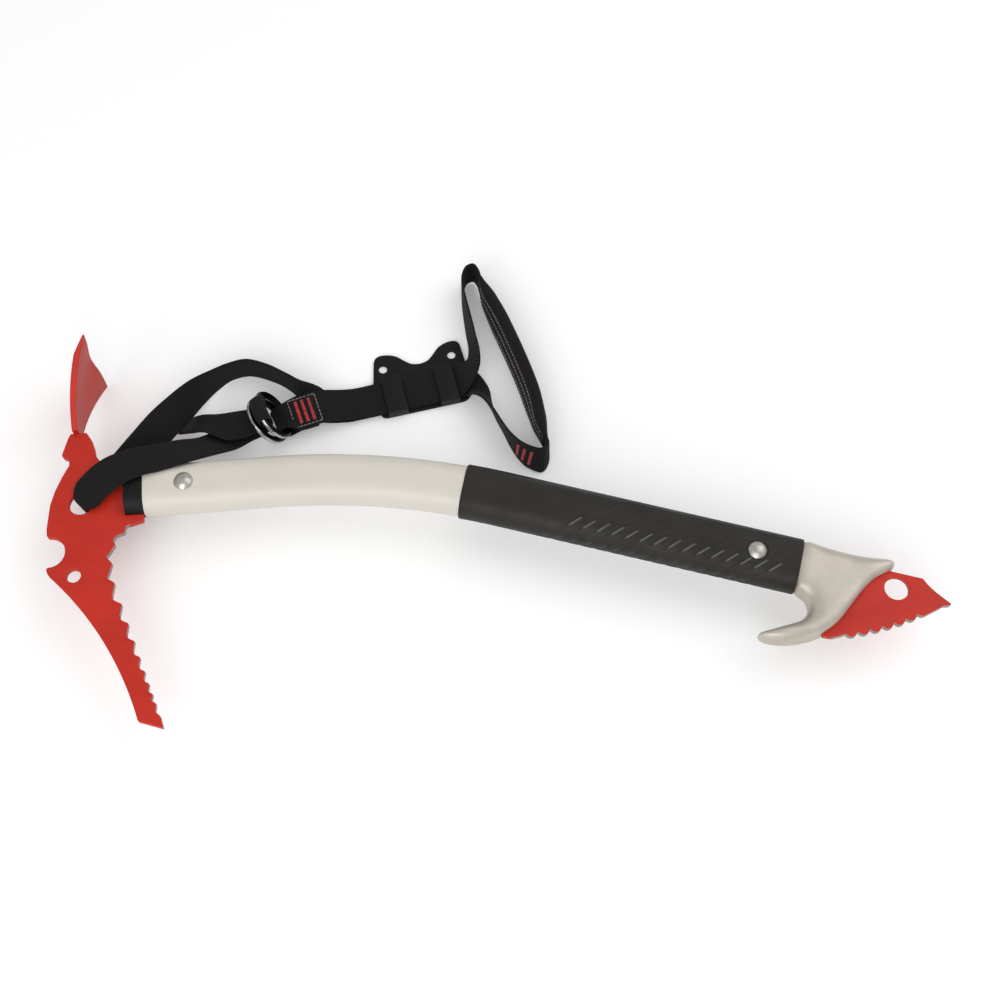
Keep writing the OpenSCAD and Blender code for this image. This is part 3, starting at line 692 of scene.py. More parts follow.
def plan(x, y, z):
    """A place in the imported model, by its place in the plan and its height, in mm."""
    return PLAN_ORIGIN + Vector((x, y, z))


def across_line(azimuth, tilt):
    """Unit vector of the line across the webbing, by its direction in the plan and its tilt, in degrees."""
    a, t = math.radians(azimuth), math.radians(tilt)
    return Vector((math.cos(a) * math.cos(t), math.sin(a) * math.cos(t), math.sin(t)))


def far_wire(foot, lean):
    """Place of a ring's far wire, along and above the table, from the foot of the ring."""
    return Vector((foot[0] - 2 * RING_RADIUS * math.cos(lean), foot[1] + 2 * RING_RADIUS * math.sin(lean)))


def ring_station(along, height, tilt, width, cup):
    """A station of webbing at the buckle, by its distance along from the rings and its height."""
    return (RINGS_AT.x + along * math.cos(RINGS_TURN), RINGS_AT.y + along * math.sin(RINGS_TURN), height,
            90 + math.degrees(RINGS_TURN), tilt, width, cup)


def lock_station(x, height, width):
    """A station of webbing that runs flat along the strap lock."""
    y = LOCK_AT.y + (x - LOCK_AT.x) * math.tan(LOCK_TURN)
    return x, y, height, 90 + math.degrees(LOCK_TURN), 0, width, 0


def eye_station(out, rise, width):
    """A station of webbing in the eye of the head, by its distance out and up from the eye's middle."""
    slant = math.radians(45)
    x = EYE_AT.x + out * math.cos(slant)
    y = EYE_AT.y + out * math.sin(slant)
    return x, y, EYE_AT.z + rise, 90 + math.degrees(slant), 0, width, 0


def flat_stations(full, rows):
    """Stations of webbing that isn't cupped; a row gives its width only where it isn't the full one."""
    return [(*row[:5], row[5] if len(row) > 5 else full, 0) for row in rows]


def sling_stations(full):
    """Stations of the sling from its tail on: place, direction and tilt of the line across, width, cup."""
    upper = far_wire(UPPER_FOOT, UPPER_LEAN)
    lower = far_wire(LOWER_FOOT, LOWER_LEAN)
    tight = (0, 16, 2.6)
    route = flat_stations(full, (
        (-190, 57.8, 7.5, 106, -34), (-181, 55.8, 12.6, 106, -36), (-171, 52.8, 20.6, 107, -30),
        (-161, 51, 20.2, 109, -12)))
    route.append(ring_station(lower.x - 6.5, lower.y - 5, 0, 18, 1.2))
    for a, h in ((0.1, -3.7), (2.4, -2.9), (3.7, -0.2)):
        route.append(ring_station(lower.x + a, lower.y + h, *tight))
    for a, h in ((-1.9, -2.9), (-3.5, 0), (-2.5, 2.5), (0, 3.6), (2.5, 2.5), (3.6, 0), (3.8, -3.4),
                 (2.8, -8), (0.4, -12.4), (-3.2, -15.1)):
        route.append(ring_station(upper.x + a, upper.y + h, *tight))
    route.append(ring_station(upper.x - 9.5, upper.y - 16.2, 0, 18, 1.4))
    route += flat_stations(full, (
        (-157.5, 46, 16, 123, -14), (-168, 35, 27.4, 128, -23), (-180, 26.5, 37.8, 115, -20),
        (-193, 21.5, 40.1, 110, -14), (-206, 17, 42, 113, -10), (-217, 11.5, 41.6, 122, -4),
        (-226.3, 5.3, 37.4, 134, 0, 19.5)))
    for out, rise, width in ((3.6, 4.6, 17.5), (0.9, 3.4, 13.5), (-0.2, 0.8, 10.5), (-0.2, -0.8, 10.5),
                             (0.9, -3.4, 12.5), (3.6, -4.4, 13.5)):
        route.append(eye_station(out, rise, width))
    route += flat_stations(full, (
        (-226.5, 5.2, 26.6, 138, 4, 15), (-220.5, 14.5, 24.4, 143, 16, 18), (-213, 25.5, 21.8, 145, 26),
        (-204.3, 38, 22.4, 145, 33), (-195, 50.5, 24, 146, 42), (-185.8, 63, 22.3, 146, 52),
        (-178, 75.5, 17.5, 140, 66), (-169.6, 86, 12.5, 130, 82), (-161, 93, 10.4, 112, 90),
        (-151, 95.8, 10.3, 90, 90), (-139, 93, 10.3, 66, 90), (-127, 87, 10.3, 60, 90),
        (-118, 80.2, 10.3, 55, 80), (-110.5, 74.4, 7, 72, 40), (-103.5, 72.7, 5, 98, 14),
        (-96.5, 72.8, 3.7, 104, 4)))
    return route + [lock_station(x, LOW_LAYER, full) for x in (-90, -86, -36.2)]


def wrist_stations(full):
    """Stations of the wrist webbing, from the keeper's fold round the hand loop and into the strap lock."""
    under = KEEPER_HEIGHT - 1.9
    route = [
        ring_station(17, under, KEEPER_TILT, full, 0),
        ring_station(10, under - 0.1, KEEPER_TILT, full, 0)]
    for a, h, width, cup in ((6.5, 8, 19.5, 0.3), (3, 4.8, 18, 0.8), (0, 2.1, 17, 1.6)):
        route.append(ring_station(a, h, 0, width, cup))
    for a, h in ((-2.8, 1), (-5.5, 1.9), (-6.6, 4.5), (-5.4, 7.4), (-2.4, 10.8), (0.2, 11.7)):
        route.append(ring_station(a, h, 0, 16, 2.6))
    route += [ring_station(a, KEEPER_HEIGHT, KEEPER_TILT, full, 0) for a in (6, 19)]
    route += flat_stations(full, ((-101, 70.8, 9.8, 108, 6), (-94, 72.6, 7, 105, 2)))
    for x, rise in ((-86.5, 0.1), (-70, 0), (-30, 0), (-26, 0.1)):
        route.append(lock_station(x, HIGH_LAYER + rise, full))
    route += flat_stations(full, (
        (-21.2, 93, 8.6, 118, -20), (-17.6, 98.5, 10.8, 142, -46), (-16, 105, 11, 160, -68),
        (-16.5, 112.4, 10.7, 172, -78), (-18.6, 124, 10.6, 178, -81), (-20.9, 136, 10.6, 180, -85),
        (-22.6, 148, 10.7, 180, -89), (-22.4, 156.5, 10.8, 180, -90), (-20.2, 161, 11, 180, -90),
        (-16.5, 162.3, 11.2, 180, -90), (-13.6, 158.8, 11.4, 180, -90)))
    route += flat_stations(full, [(x, y, PAD_HEIGHT_AT, 180, -90) for x, y in reversed(PAD_ROUTE)])
    route += flat_stations(full, (
        (28.2, 39.8, 11.1, 110, -97), (24.3, 34.9, 10.6, 100, -108), (18.5, 36.6, 10.4, 55, -104),
        (12.2, 41, 10.4, 42, -96), (6.4, 48.2, 10.4, 35, -88), (1.6, 56.8, 10.5, 30, -83),
        (-3.3, 66, 10.5, 30, -80), (-8.2, 75, 10.1, 35, -66), (-12.2, 82, 7.9, 48, -40),
        (-14.2, 84.8, 6.6, 62, -27), (-16.2, 87.4, 5.3, 75, -14), (-20.5, 90.6, 3.7, 98, -4)))
    return route + [lock_station(x, LOW_LAYER, full) for x in (-26, -35.8)]


def smooth_line(points, step):
    """Points at equal steps along a smooth line through points, whose first three values are the place."""
    spans = [(Vector(q[:3]) - Vector(p[:3])).length for p, q in zip(points, points[1:])]
    size = len(points[0])

    def chord(i):
        return [(b - a) / spans[i] for a, b in zip(points[i], points[i + 1])]

    def slope(i):
        if i == 0:
            return chord(0)
        if i == len(points) - 1:
            return chord(i - 1)
        before, after = spans[i - 1], spans[i]
        return [(a * after + b * before) / (before + after) for a, b in zip(chord(i - 1), chord(i))]

    fine = []
    for i, span in enumerate(spans):
        first, last = slope(i), slope(i + 1)
        parts = max(2, math.ceil(span / step * 2))
        for part in range(parts):
            t = part / parts
            weights = (2 * t ** 3 - 3 * t ** 2 + 1, (t ** 3 - 2 * t ** 2 + t) * span,
                       3 * t ** 2 - 2 * t ** 3, (t ** 3 - t ** 2) * span)
            fine.append([weights[0] * points[i][k] + weights[1] * first[k] + weights[2] * points[i + 1][k]
                         + weights[3] * last[k] for k in range(size)])
    fine.append(list(points[-1]))
    line = [fine[0]]
    reached, target = 0.0, step
    for p, q in zip(fine, fine[1:]):
        length = (Vector(q[:3]) - Vector(p[:3])).length
        while length > 0 and reached + length >= target:
            t = (target - reached) / length
            line.append([a + (b - a) * t for a, b in zip(p, q)])
            target += step
        reached += length
    return line


def webbing_line(stations, step):
    """Rows of the webbing at equal steps: place, line across, direction along, width and cup."""
    points = []
    for x, y, z, azimuth, tilt, width, cup in stations:
        points.append((*plan(x, y, z), *across_line(azimuth, tilt), width, cup))
    line = smooth_line(points, step)
    rows = []
    for i, p in enumerate(line):
        along = Vector(line[min(i + 1, len(line) - 1)][:3]) - Vector(line[max(i - 1, 0)][:3])
        rows.append((Vector(p[:3]), Vector(p[3:6]).normalized(), along.normalized(), p[6], p[7]))
    return rows


def webbing_piece(name, stations, cup_side):
    """A woven tape through its stations, ribbed, with rounded edges; returns it and its line in metres."""
    sizes = bpy.context.scene.ice_tool_leash
    half = sizes.webbing_thickness / MM / 2
    rib = sizes.rib_height / MM / 2
    rows_per_rib = 4
    step = sizes.rib_pitch / MM / rows_per_rib
    edge_share = 0.35
    edge_power = 14
    level = math.cos(UPPER_LEAN)
    toward_ring = cup_side * Vector(
        (level * math.cos(RINGS_TURN), level * math.sin(RINGS_TURN), -math.sin(UPPER_LEAN)))
    places = (-1, -0.97, -0.88, -0.66, -0.33, 0, 0.33, 0.66, 0.88, 0.97, 1)
    rows, uv = [], []
    line = webbing_line(stations, step)
    for i, (centre, across, along, width, cup) in enumerate(line):
        normal = across.cross(along).normalized()
        swell = rib * math.cos(2 * math.pi * i / rows_per_rib)
        row, row_uv = [], []
        for face, order in ((1, places), (-1, places[::-1])):
            for e in order:
                edge = math.sqrt(max(0, 1 - abs(e) ** edge_power))
                thick = (half - rib + face * swell) * (edge_share + (1 - edge_share) * edge)
                spot = centre + across * e * width / 2 + toward_ring * cup * e * e
                row.append(spot + normal * face * thick)
                row_uv.append((e * width / 2 / MAP_UNIT, i * step / MAP_UNIT))
        rows.append(row)
        uv.append(row_uv)
    piece = grid_piece(name, rows, uv=uv)
    smooth(piece, SOFT_CREASE)
    return piece, [centre * MM for centre, *_ in line]


def thread_piece(name, stitches):
    """Arched stitches of thread: each has a start, an end and the outward direction of the cloth, in mm."""
    radius = bpy.context.scene.ice_tool_leash.thread_radius / MM
    sides = 6
    arch = ((0, -0.8), (0.18, 0.3), (0.5, 0.7), (0.82, 0.3), (1, -0.8))
    points, faces = [], []
    for start, end, out in stitches:
        first = len(points)
        side = (end - start).cross(out).normalized()
        for share, lift in arch:
            centre = start.lerp(end, share) + out * lift * radius
            for k in range(sides):
                turn = 2 * math.pi * k / sides
                points.append((centre + (side * math.cos(turn) + out * math.sin(turn)) * radius) * MM)
        for ring in range(len(arch) - 1):
            for k in range(sides):
                a, b = first + ring * sides + k, first + ring * sides + (k + 1) % sides
                faces.append((a, b, b + sides, a + sides))
        faces.append(tuple(first + k for k in range(sides - 1, -1, -1)))
        last = first + (len(arch) - 1) * sides
        faces.append(tuple(last + k for k in range(sides)))
    mesh = bpy.data.meshes.new(name)
    mesh.from_pydata(points, [], faces)
    piece = link(name, mesh)
    turn_outwards(piece)
    smooth(piece, SOFT_CREASE)
    return piece


class ICETOOL_OT_stage(bpy.types.Operator):
    """Set up the camera, the paper floor and the soft studio light"""
    bl_idname = "ice_tool.stage"
    bl_label = "Stage"

    def execute(self, context):
        scene = context.scene
        # The point under the lens, and the lens, both in pixels of the picture, give the tilt and roll
        picture_width = 1000
        lens_pixels = 1600
        under_lens = (-10, -725)
        reach = 898.9
        nadir = Vector((*under_lens, -lens_pixels)).normalized()
        right = (Vector((1, 0, 0)) - nadir * nadir.x).normalized()
        turn = Matrix((right, (-nadir).cross(right), -nadir))
        place = plan(0, 0, MID_HEIGHT) + turn @ Vector((0, 0, reach))
        data = bpy.data.cameras.new("view of the tool")
        data.sensor_width = 36
        data.lens = data.sensor_width * lens_pixels / picture_width
        data.clip_start = 0.01
        data.clip_end = 20
        scene.camera = link("view of the tool", data)
        scene.camera.matrix_world = Matrix.Translation(place * MM) @ turn.to_4x4()

        floor_size = 8
        floor_height = -0.0002
        bpy.ops.object.select_all(action="DESELECT")
        bpy.ops.mesh.primitive_plane_add(size=floor_size, location=(0, 0, floor_height))
        floor = context.active_object
        floor.name = "paper_floor"
        bpy.ops.object.transform_apply(location=True)
        floor.data.materials.append(self.paper())

        self.lamp("key softbox", place=(-0.35, -1.1, 1.0), size=1.5, power=11)
        self.lamp("fill softbox", place=(0.9, 0.5, 1.3), size=1.6, power=7)
        scene.world = bpy.data.worlds.new("white room")
        scene.world.use_nodes = True
        feed(scene.world.node_tree.nodes["Background"], {"Color": (1, 1, 1, 1), "Strength": 0.62})
        scene.view_settings.view_transform = "Standard"
        return {"FINISHED"}

    def lamp(self, name, place, size, power):
        """A round soft light that faces the tool."""
        data = bpy.data.lights.new(name, "AREA")
        data.shape = "DISK"
        data.size = size
        data.energy = power
        lamp = link(name, data)
        lamp.location = place
        lamp.rotation_mode = "QUATERNION"
        lamp.rotation_quaternion = (-Vector(place)).to_track_quat("-Z", "Y")

    def paper(self):
        """White paper: matt, and lifted towards white to the camera and in reflections."""
        colour = bpy.context.scene.ice_tool_finishes.floor_white
        material, tree, shader = new_material(
            "white_paper", {"Base Color": linear(colour), "Roughness": 0.9, "Specular IOR Level": 0.1})
        rays = ("Is Camera Ray", "Is Glossy Ray", "Is Transmission Ray")
        direct, mirrored, refracted = [add(tree, "ShaderNodeLightPath", out=ray) for ray in rays]
        seen = add(tree, MATH, {0: direct, 1: mirrored}, operation="MAXIMUM")
        seen = add(tree, MATH, {0: seen, 1: refracted}, operation="MAXIMUM")
        lift = add(tree, MATH, {0: seen, 1: 0.16}, operation="MULTIPLY")
        glow = add(tree, "ShaderNodeEmission", {"Strength": lift})
        both = add(tree, "ShaderNodeAddShader", {0: shader.outputs[0], 1: glow})
        feed(tree.nodes["Material Output"], {"Surface": both})
        return material


class ICETOOL_OT_webbing(bpy.types.Operator):
    """Weave the sling and the wrist strap of the leash"""
    bl_idname = "ice_tool.webbing"
    bl_label = "Webbing"

    def execute(self, context):
        width = context.scene.ice_tool_leash.webbing_width
        full = width / MM
        cloth = woven_webbing()
        sling, route = webbing_piece("sling_strap", sling_stations(full), 1)
        dress(sling, cloth, "leash", "black_webbing", "sling_webbing")
        route.reverse()
        wrist, route = webbing_piece("wrist_strap", wrist_stations(full), -1)
        dress(wrist, cloth, "leash", "black_webbing", "wrist_webbing")
        return {"FINISHED"}


class ICETOOL_OT_wrist_pad(bpy.types.Operator):
    """Pad the hand loop with a sewn sleeve"""
    bl_idname = "ice_tool.wrist_pad"
    bl_label = "Wrist pad"

    def execute(self, context):
        sizes = context.scene.ice_tool_leash
        half_height = sizes.pad_height / MM / 2
        half_depth = sizes.pad_thickness / MM / 2
        edge = 1.6
        step = 1.2
        places = 48
        map_step = step / MAP_UNIT
        full_lean = math.radians(12)
        channels = (-0.5, 0, 0.5)
        channel_width = 0.07
        channel_depth = 0.6
        channel_run_in = 6
        thread_lift = 0.2

        def crown(rise):
            """Half the pad's thickness, by the share of its height."""
            return edge + (half_depth - edge) * math.sqrt(max(0, 1 - rise ** 4))

        line = smooth_line([(x, y, 0) for x, y in PAD_ROUTE], step)
        rows, uv, seams = [], [], {c: [] for c in channels}
        for i, p in enumerate(line):
            ahead = line[min(i + 1, len(line) - 1)]
            behind = line[max(i - 1, 0)]
            along = Vector((ahead[0] - behind[0], ahead[1] - behind[1], 0)).normalized()
            side = Vector((-along.y, along.x, 0))
            centre = plan(p[0], p[1], PAD_HEIGHT_AT)
            # Towards its ends the pad gets thinner and lower, and stands upright
            end = min(i, len(line) - 1 - i) * step
            pinch = 0.3 + 0.7 * step_up(end, -4, 14)
            height = half_height * (0.87 + 0.13 * step_up(end, 0, 16))
            lean = full_lean * step_up(end, 2, 34)
            deep = channel_depth * min(1, end / channel_run_in)
            upward = Vector((0, 0, math.cos(lean))) - side * math.sin(lean)
            face = side * math.cos(lean) + Vector((0, 0, math.sin(lean)))
            row, row_uv = [], []
            for k in range(places):
                turn = 2 * math.pi * k / places
                rise = math.copysign(abs(math.sin(turn)) ** 0.8, math.sin(turn))
                out = math.copysign(abs(math.cos(turn)) ** 0.35, math.cos(turn))
                dip = 0
                if out > 0:
                    dip = sum(deep * math.exp(-((rise - c) / channel_width) ** 2) for c in channels)
                row.append(centre + face * (out * crown(rise) * pinch - dip) + upward * rise * height)
                row_uv.append((k * map_step, i * map_step))
            rows.append(row)
            uv.append(row_uv)
            for c in channels:
                depth = crown(c) * pinch - deep + thread_lift
                seams[c].append((centre + face * depth + upward * c * height, face))
        pad = grid_piece("hand_loop_pad", rows, uv=uv)
        smooth(pad, SOFT_CREASE)
        dress(pad, pad_cloth(), "leash", "pad_cloth", "wrist_pad")
        stitches = []
        for seam in seams.values():
            for (start, out), (end, _) in zip(seam[3:-3:2], seam[5:-3:2]):
                gap = (end - start) * 0.12
                stitches.append((start + gap, end - gap, out))
        grey = sewing_thread("grey_thread", context.scene.ice_tool_finishes.grey_thread)
        dress(thread_piece("pad_seams", stitches), grey, "leash", "pad_cloth")
        return {"FINISHED"}


class ICETOOL_OT_stitching(bpy.types.Operator):
    """Sew the bar tacks and seams of the straps"""
    bl_idname = "ice_tool.stitching"
    bl_label = "Stitching"

    def execute(self, context):
        finishes = context.scene.ice_tool_finishes
        red = sewing_thread("red_thread", finishes.red_thread)
        face = 0.85
        along = Vector((math.cos(RINGS_TURN), math.sin(RINGS_TURN), 0))
        across = across_line(90 + math.degrees(RINGS_TURN), KEEPER_TILT)
        out = along.cross(across)
        # The keeper's tacks: three bars of satin stitch across the strap
        behind_rings = 11.5
        centre = PLAN_ORIGIN + RINGS_AT + along * behind_rings + Vector((0, 0, KEEPER_HEIGHT)) + out * face
        stitches = []
        for bar in (-4, 0, 4):
            spot = centre + along * bar
            stitches += self.bar_tack(spot, along, across, out, count=27, start=6.76, reach=1)
        dress(thread_piece("keeper_bar_tacks", stitches), red, "leash", "red_thread", "keeper_tack")
        # The seam box round the tacks
        half_long = 8.2
        half_wide = 8.6
        stitch = 2.4
        gap = 0.12
        corners = ((-1, -1), (1, -1), (1, 1), (-1, 1), (-1, -1))
        box = [centre + along * a * half_long + across * b * half_wide for a, b in corners]
        box_stitches = []
        for a, b in zip(box, box[1:]):
            count = round((b - a).length / stitch)
            for k in range(count):
                start = a.lerp(b, (k + gap) / count)
                box_stitches.append((start, a.lerp(b, (k + 1 - gap) / count), out))
        # The tacks at the bottom of the hand loop, on the outer face of the strap
        loop = webbing_line(wrist_stations(context.scene.ice_tool_leash.webbing_width / MM), step=0.5)
        bottom = plan(14.5, 39.2, 10.4)
        nearest = min(range(len(loop)), key=lambda i: (loop[i][0] - bottom).length)
        stitches = []
        for bar in (-9, 0, 9):
            place, across, along, _, _ = loop[nearest + bar]
            out = across.cross(along).normalized()
            out = out if out.y < 0 else -out
            spot = place + out * face
            stitches += self.bar_tack(spot, along, across, out, count=23, start=5.7, reach=0.9)
        dress(thread_piece("loop_bar_tacks", stitches), red, "leash", "red_thread")
        seams = thread_piece("keeper_seams", box_stitches)
        dress(seams, sewing_thread("dark_grey_thread", finishes.grey_thread), "leash", "black_webbing")
        return {"FINISHED"}

    def bar_tack(self, place, along, across, out, count, start, reach):
        """Satin stitches side by side that make one bar across a strap."""
        pitch = 0.52
        stitches = []
        for k in range(count):
            spot = place + across * (k * pitch - start)
            stitches.append((spot - along * reach, spot + along * reach + across * pitch / 2, out))
        return stitches


class ICETOOL_OT_rings(bpy.types.Operator):
    """Bend the two wire rings of the buckle"""
    bl_idname = "ice_tool.rings"
    bl_label = "Buckle rings"

    def execute(self, context):
        steel = ring_steel()
        self.ring("upper_wire_ring", UPPER_FOOT, UPPER_LEAN, steel, "upper_ring")
        self.ring("lower_wire_ring", LOWER_FOOT, LOWER_LEAN, steel, "lower_ring")
        return {"FINISHED"}

    def ring(self, name, foot, lean, steel, node):
        """A ring of wire that leans over its foot, with its outermost line marked for a painted reflection.
        """
        bpy.ops.object.select_all(action="DESELECT")
        bpy.ops.mesh.primitive_torus_add(major_radius=RING_RADIUS * MM, minor_radius=WIRE_RADIUS * MM,
                                         major_segments=120, minor_segments=28)
        piece = bpy.context.active_object
        piece.name = name
        centre = PLAN_ORIGIN + RINGS_AT + Matrix.Rotation(RINGS_TURN, 3, "Z") @ Vector(
            (foot[0] - RING_RADIUS * math.cos(lean), 0, foot[1] + RING_RADIUS * math.sin(lean)))
        turn = Matrix.Rotation(RINGS_TURN, 4, "Z") @ Matrix.Rotation(lean, 4, "Y")
        # The outermost line of the wire is marked for a painted reflection
        painted_glint = piece.data.attributes.new("painted_glint", "FLOAT", "POINT")
        for vertex, mark in zip(piece.data.vertices, painted_glint.data):
            out = (math.hypot(vertex.co.x, vertex.co.y) / MM - RING_RADIUS) / WIRE_RADIUS
            mark.value = step_up(out, 0.8, 0.95)
        piece.data.transform(Matrix.Translation(centre * MM) @ turn)
        smooth(piece, SOFT_CREASE)
        dress(piece, steel, "leash", "ring_steel", node)


class ICETOOL_OT_strap_lock(bpy.types.Operator):
    """Mould the strap lock that slides on both layers of webbing"""
    bl_idname = "ice_tool.strap_lock"
    bl_label = "Strap lock"

    HALF = 12.05
    THICK = 1.8
    EYELETS = ((-21.2, 20.6), (21.2, 20.6))
    EYELET_RADIUS = 2.5
    BARS = ((-24.5, -12.3), (7.5, 19.3))

    def execute(self, context):
        edge = context.scene.ice_tool_leash.lock_bevel
        parts = 40
        outlines = [soften([self.place(x, y, 0).to_2d() for x, y in self.outline()], self.flow)]
        for x, y in self.EYELETS:
            hole = []
            for k in range(parts):
                spoke = Matrix.Rotation(2 * math.pi * k / parts, 2) @ Vector((self.EYELET_RADIUS, 0))
                hole.append(self.place(x + spoke.x, y + spoke.y, 0).to_2d())
            outlines.append(hole)
        piece = plate("strap_lock", outlines, 0, self.THICK * MM, edge)
        bars = [self.bar(start, end, edge) for start, end in self.BARS]
        activate(piece)
        for bar in bars:
            bar.select_set(True)
        bpy.ops.object.join()
        dress(piece, black_nylon(), "slider", "black_nylon", "slider_plate")
        return {"FINISHED"}

    def place(self, x, y, z):
        """Place of a point of the lock's own plan."""
        return PLAN_ORIGIN + LOCK_AT + Matrix.Rotation(LOCK_TURN, 3, "Z") @ Vector((x, y, z))

    def outline(self):
        """Corners of the plate and the saddle that flows into its two ears, in the lock's own plan."""
        middle, reach, low, high = 1.4, 18, 19.4, 30.2
        points = [(-29, -self.HALF), (23.5, -self.HALF), (28.5, 5 - self.HALF), (28.5, self.HALF)]
        points.append((27.7, high))
        for k in range(25):
            x = middle + reach * (1 - k / 12)
            points.append((x, low + (high - low) * step_up(abs(x - middle), 2, reach)))
        return points + [(-24.9, high), (-29, self.HALF)]

    def flow(self, place, juts):
        """Rounding of the moulding's corners, the same for all."""
        return 4.5, 0

    def bar(self, start, end, edge):
        """A bridge over both layers of webbing, rooted in the plate."""
        wall, roof, top, foot = 1.5, 5.9, 7.4, 0.9
        inner = self.HALF - wall
        section = [(-self.HALF, foot), (-self.HALF, top), (self.HALF, top), (self.HALF, foot),
                   (inner, foot), (inner, roof), (-inner, roof), (-inner, foot)]
        rows = [[self.place(x, y, z) for y, z in section] for x in (start, end)]
        piece = grid_piece("lock_bar", rows)
        bevel(piece, edge, segments=4)
        smooth(piece)
        return piece


class ICETOOL_OT_head(bpy.types.Operator):
    """Finish the head plate and the adze"""
    bl_idname = "ice_tool.head"
    bl_label = "Head"

    def execute(self, context):
        sizes = context.scene.ice_tool_sizes
        red = red_enamel()
        pick = flat_plate("head_plate", "pick_plate", self.wear, sizes.plate_bevel, self.last_tooth)
        dress(pick, red, "tool", "red_paint", "head_plate")
        row_top = -20
        bare_edges(pick, MOUTH, lambda x, y: y < row_top and self.in_row(x, y))
        adze = self.blade()
        bevel(adze, sizes.adze_bevel)
        smooth(adze, angle=25)
        dress(adze, red, "tool", "red_paint", "adze_blade")
        return {"FINISHED"}

    def blade(self):
        """The adze: it widens from its root, droops to the shaft, is a little hollow and is bevelled."""
        root, edge_width = 12, 62
        seat, reach = 39, 47.5
        thick, sharp, bevel_from = 3.5, 0.8, 0.8
        droop, droop_from = 128.5, 2
        hollow, hollow_middle, hollow_width = 2.2, 4, 14
        inside_x = -37
        place, along, up = shaft_axis(MOUTH)
        steps, columns = 40, 33
        rows = []
        for i in range(steps + 1):
            t = i / steps
            height = seat + t * reach
            half = (root + (edge_width - root) * t) / 2
            depth = thick - (thick - sharp) * max(0, (t - bevel_from) / (1 - bevel_from))
            row = []
            for face, order in ((0, range(columns)), (1, range(columns - 1, -1, -1))):
                for k in order:
                    side = half * (2 * k / (columns - 1) - 1)
                    radius = droop + face * depth
                    x = inside_x + droop - math.sqrt(radius ** 2 - (height - seat - droop_from) ** 2)
                    x -= hollow * t * t * math.exp(-((side - hollow_middle) / hollow_width) ** 2)
                    row.append(place + along * x + up * height + Vector((0, 0, side)))
            rows.append(row)
        return grid_piece("adze", rows)

    def in_row(self, x, y):
        """Whether a place of the plate, seen from the tube's mouth, is on the toothed side."""
        return x > -31 - 0.34 * (y + 20)

    def last_tooth(self, outline):
        """Cuts the small last tooth between the row and the pick's point."""
        row_end, tip, gullet = (9, -132.5), (6.7, -125.3), (6.4, -129.8)
        place, along, up = shaft_axis(MOUTH)
        row_end, tip, gullet = [(place + along * x + up * y).to_2d() for x, y in (row_end, tip, gullet)]
        count = len(outline)
        i = min(range(count), key=lambda k: (outline[k] - row_end).length)
        if (outline[i] - row_end).length > 1:
            return outline
        if (outline[i - 1] - tip).length < (outline[(i + 1) % count] - tip).length:
            return outline[:i] + [tip, gullet] + outline[i:]
        return outline[:i + 1] + [gullet, tip] + outline[i + 1:]

    def wear(self, place, juts):
        """Rounding of the plate's corners: the teeth are sharp and their gullets round."""
        x, y, _ = seen_from(MOUTH, Vector((*place, 0)) * MM)
        if self.in_row(x, y):
            return (0.5, 0) if juts else (2.6, 0.9)
        pick_end = -128
        return (0.5, 0) if y < pick_end else (2, 0)


class ICETOOL_OT_shaft(bpy.types.Operator):
    """Draw the bowed tube and mould the collar in its mouth"""
    bl_idname = "ice_tool.shaft"
    bl_label = "Shaft"

    def execute(self, context):
        wall = 2
        rim, chamfer = 0.5, 0.15
        parts = 150
        round_count = 96
        steps = [MOUTH + (TUBE_END - MOUTH) * i / parts for i in range(parts + 1)]
        outer = [(MOUTH, -rim), (MOUTH + chamfer, -chamfer), (MOUTH + rim, 0)] + [(d, 0) for d in steps[1:]]
        inner = [(d, -wall) for d in reversed(steps)]
        rows = [oval_row(distance, grow, round_count) for distance, grow in outer + inner]
        tube = grid_piece("shaft", rows, closed_rows=True)
        smooth(tube)
        dress(tube, tube_paint(), "tool", "painted_tube", "shaft_tube")
        collar = cad_copy("head_insert", "collar")
        bevel(collar, context.scene.ice_tool_sizes.collar_bevel, segments=3)
        smooth(collar)
        dress(collar, black_nylon(), "tool", "black_nylon", "head_insert")
        return {"FINISHED"}


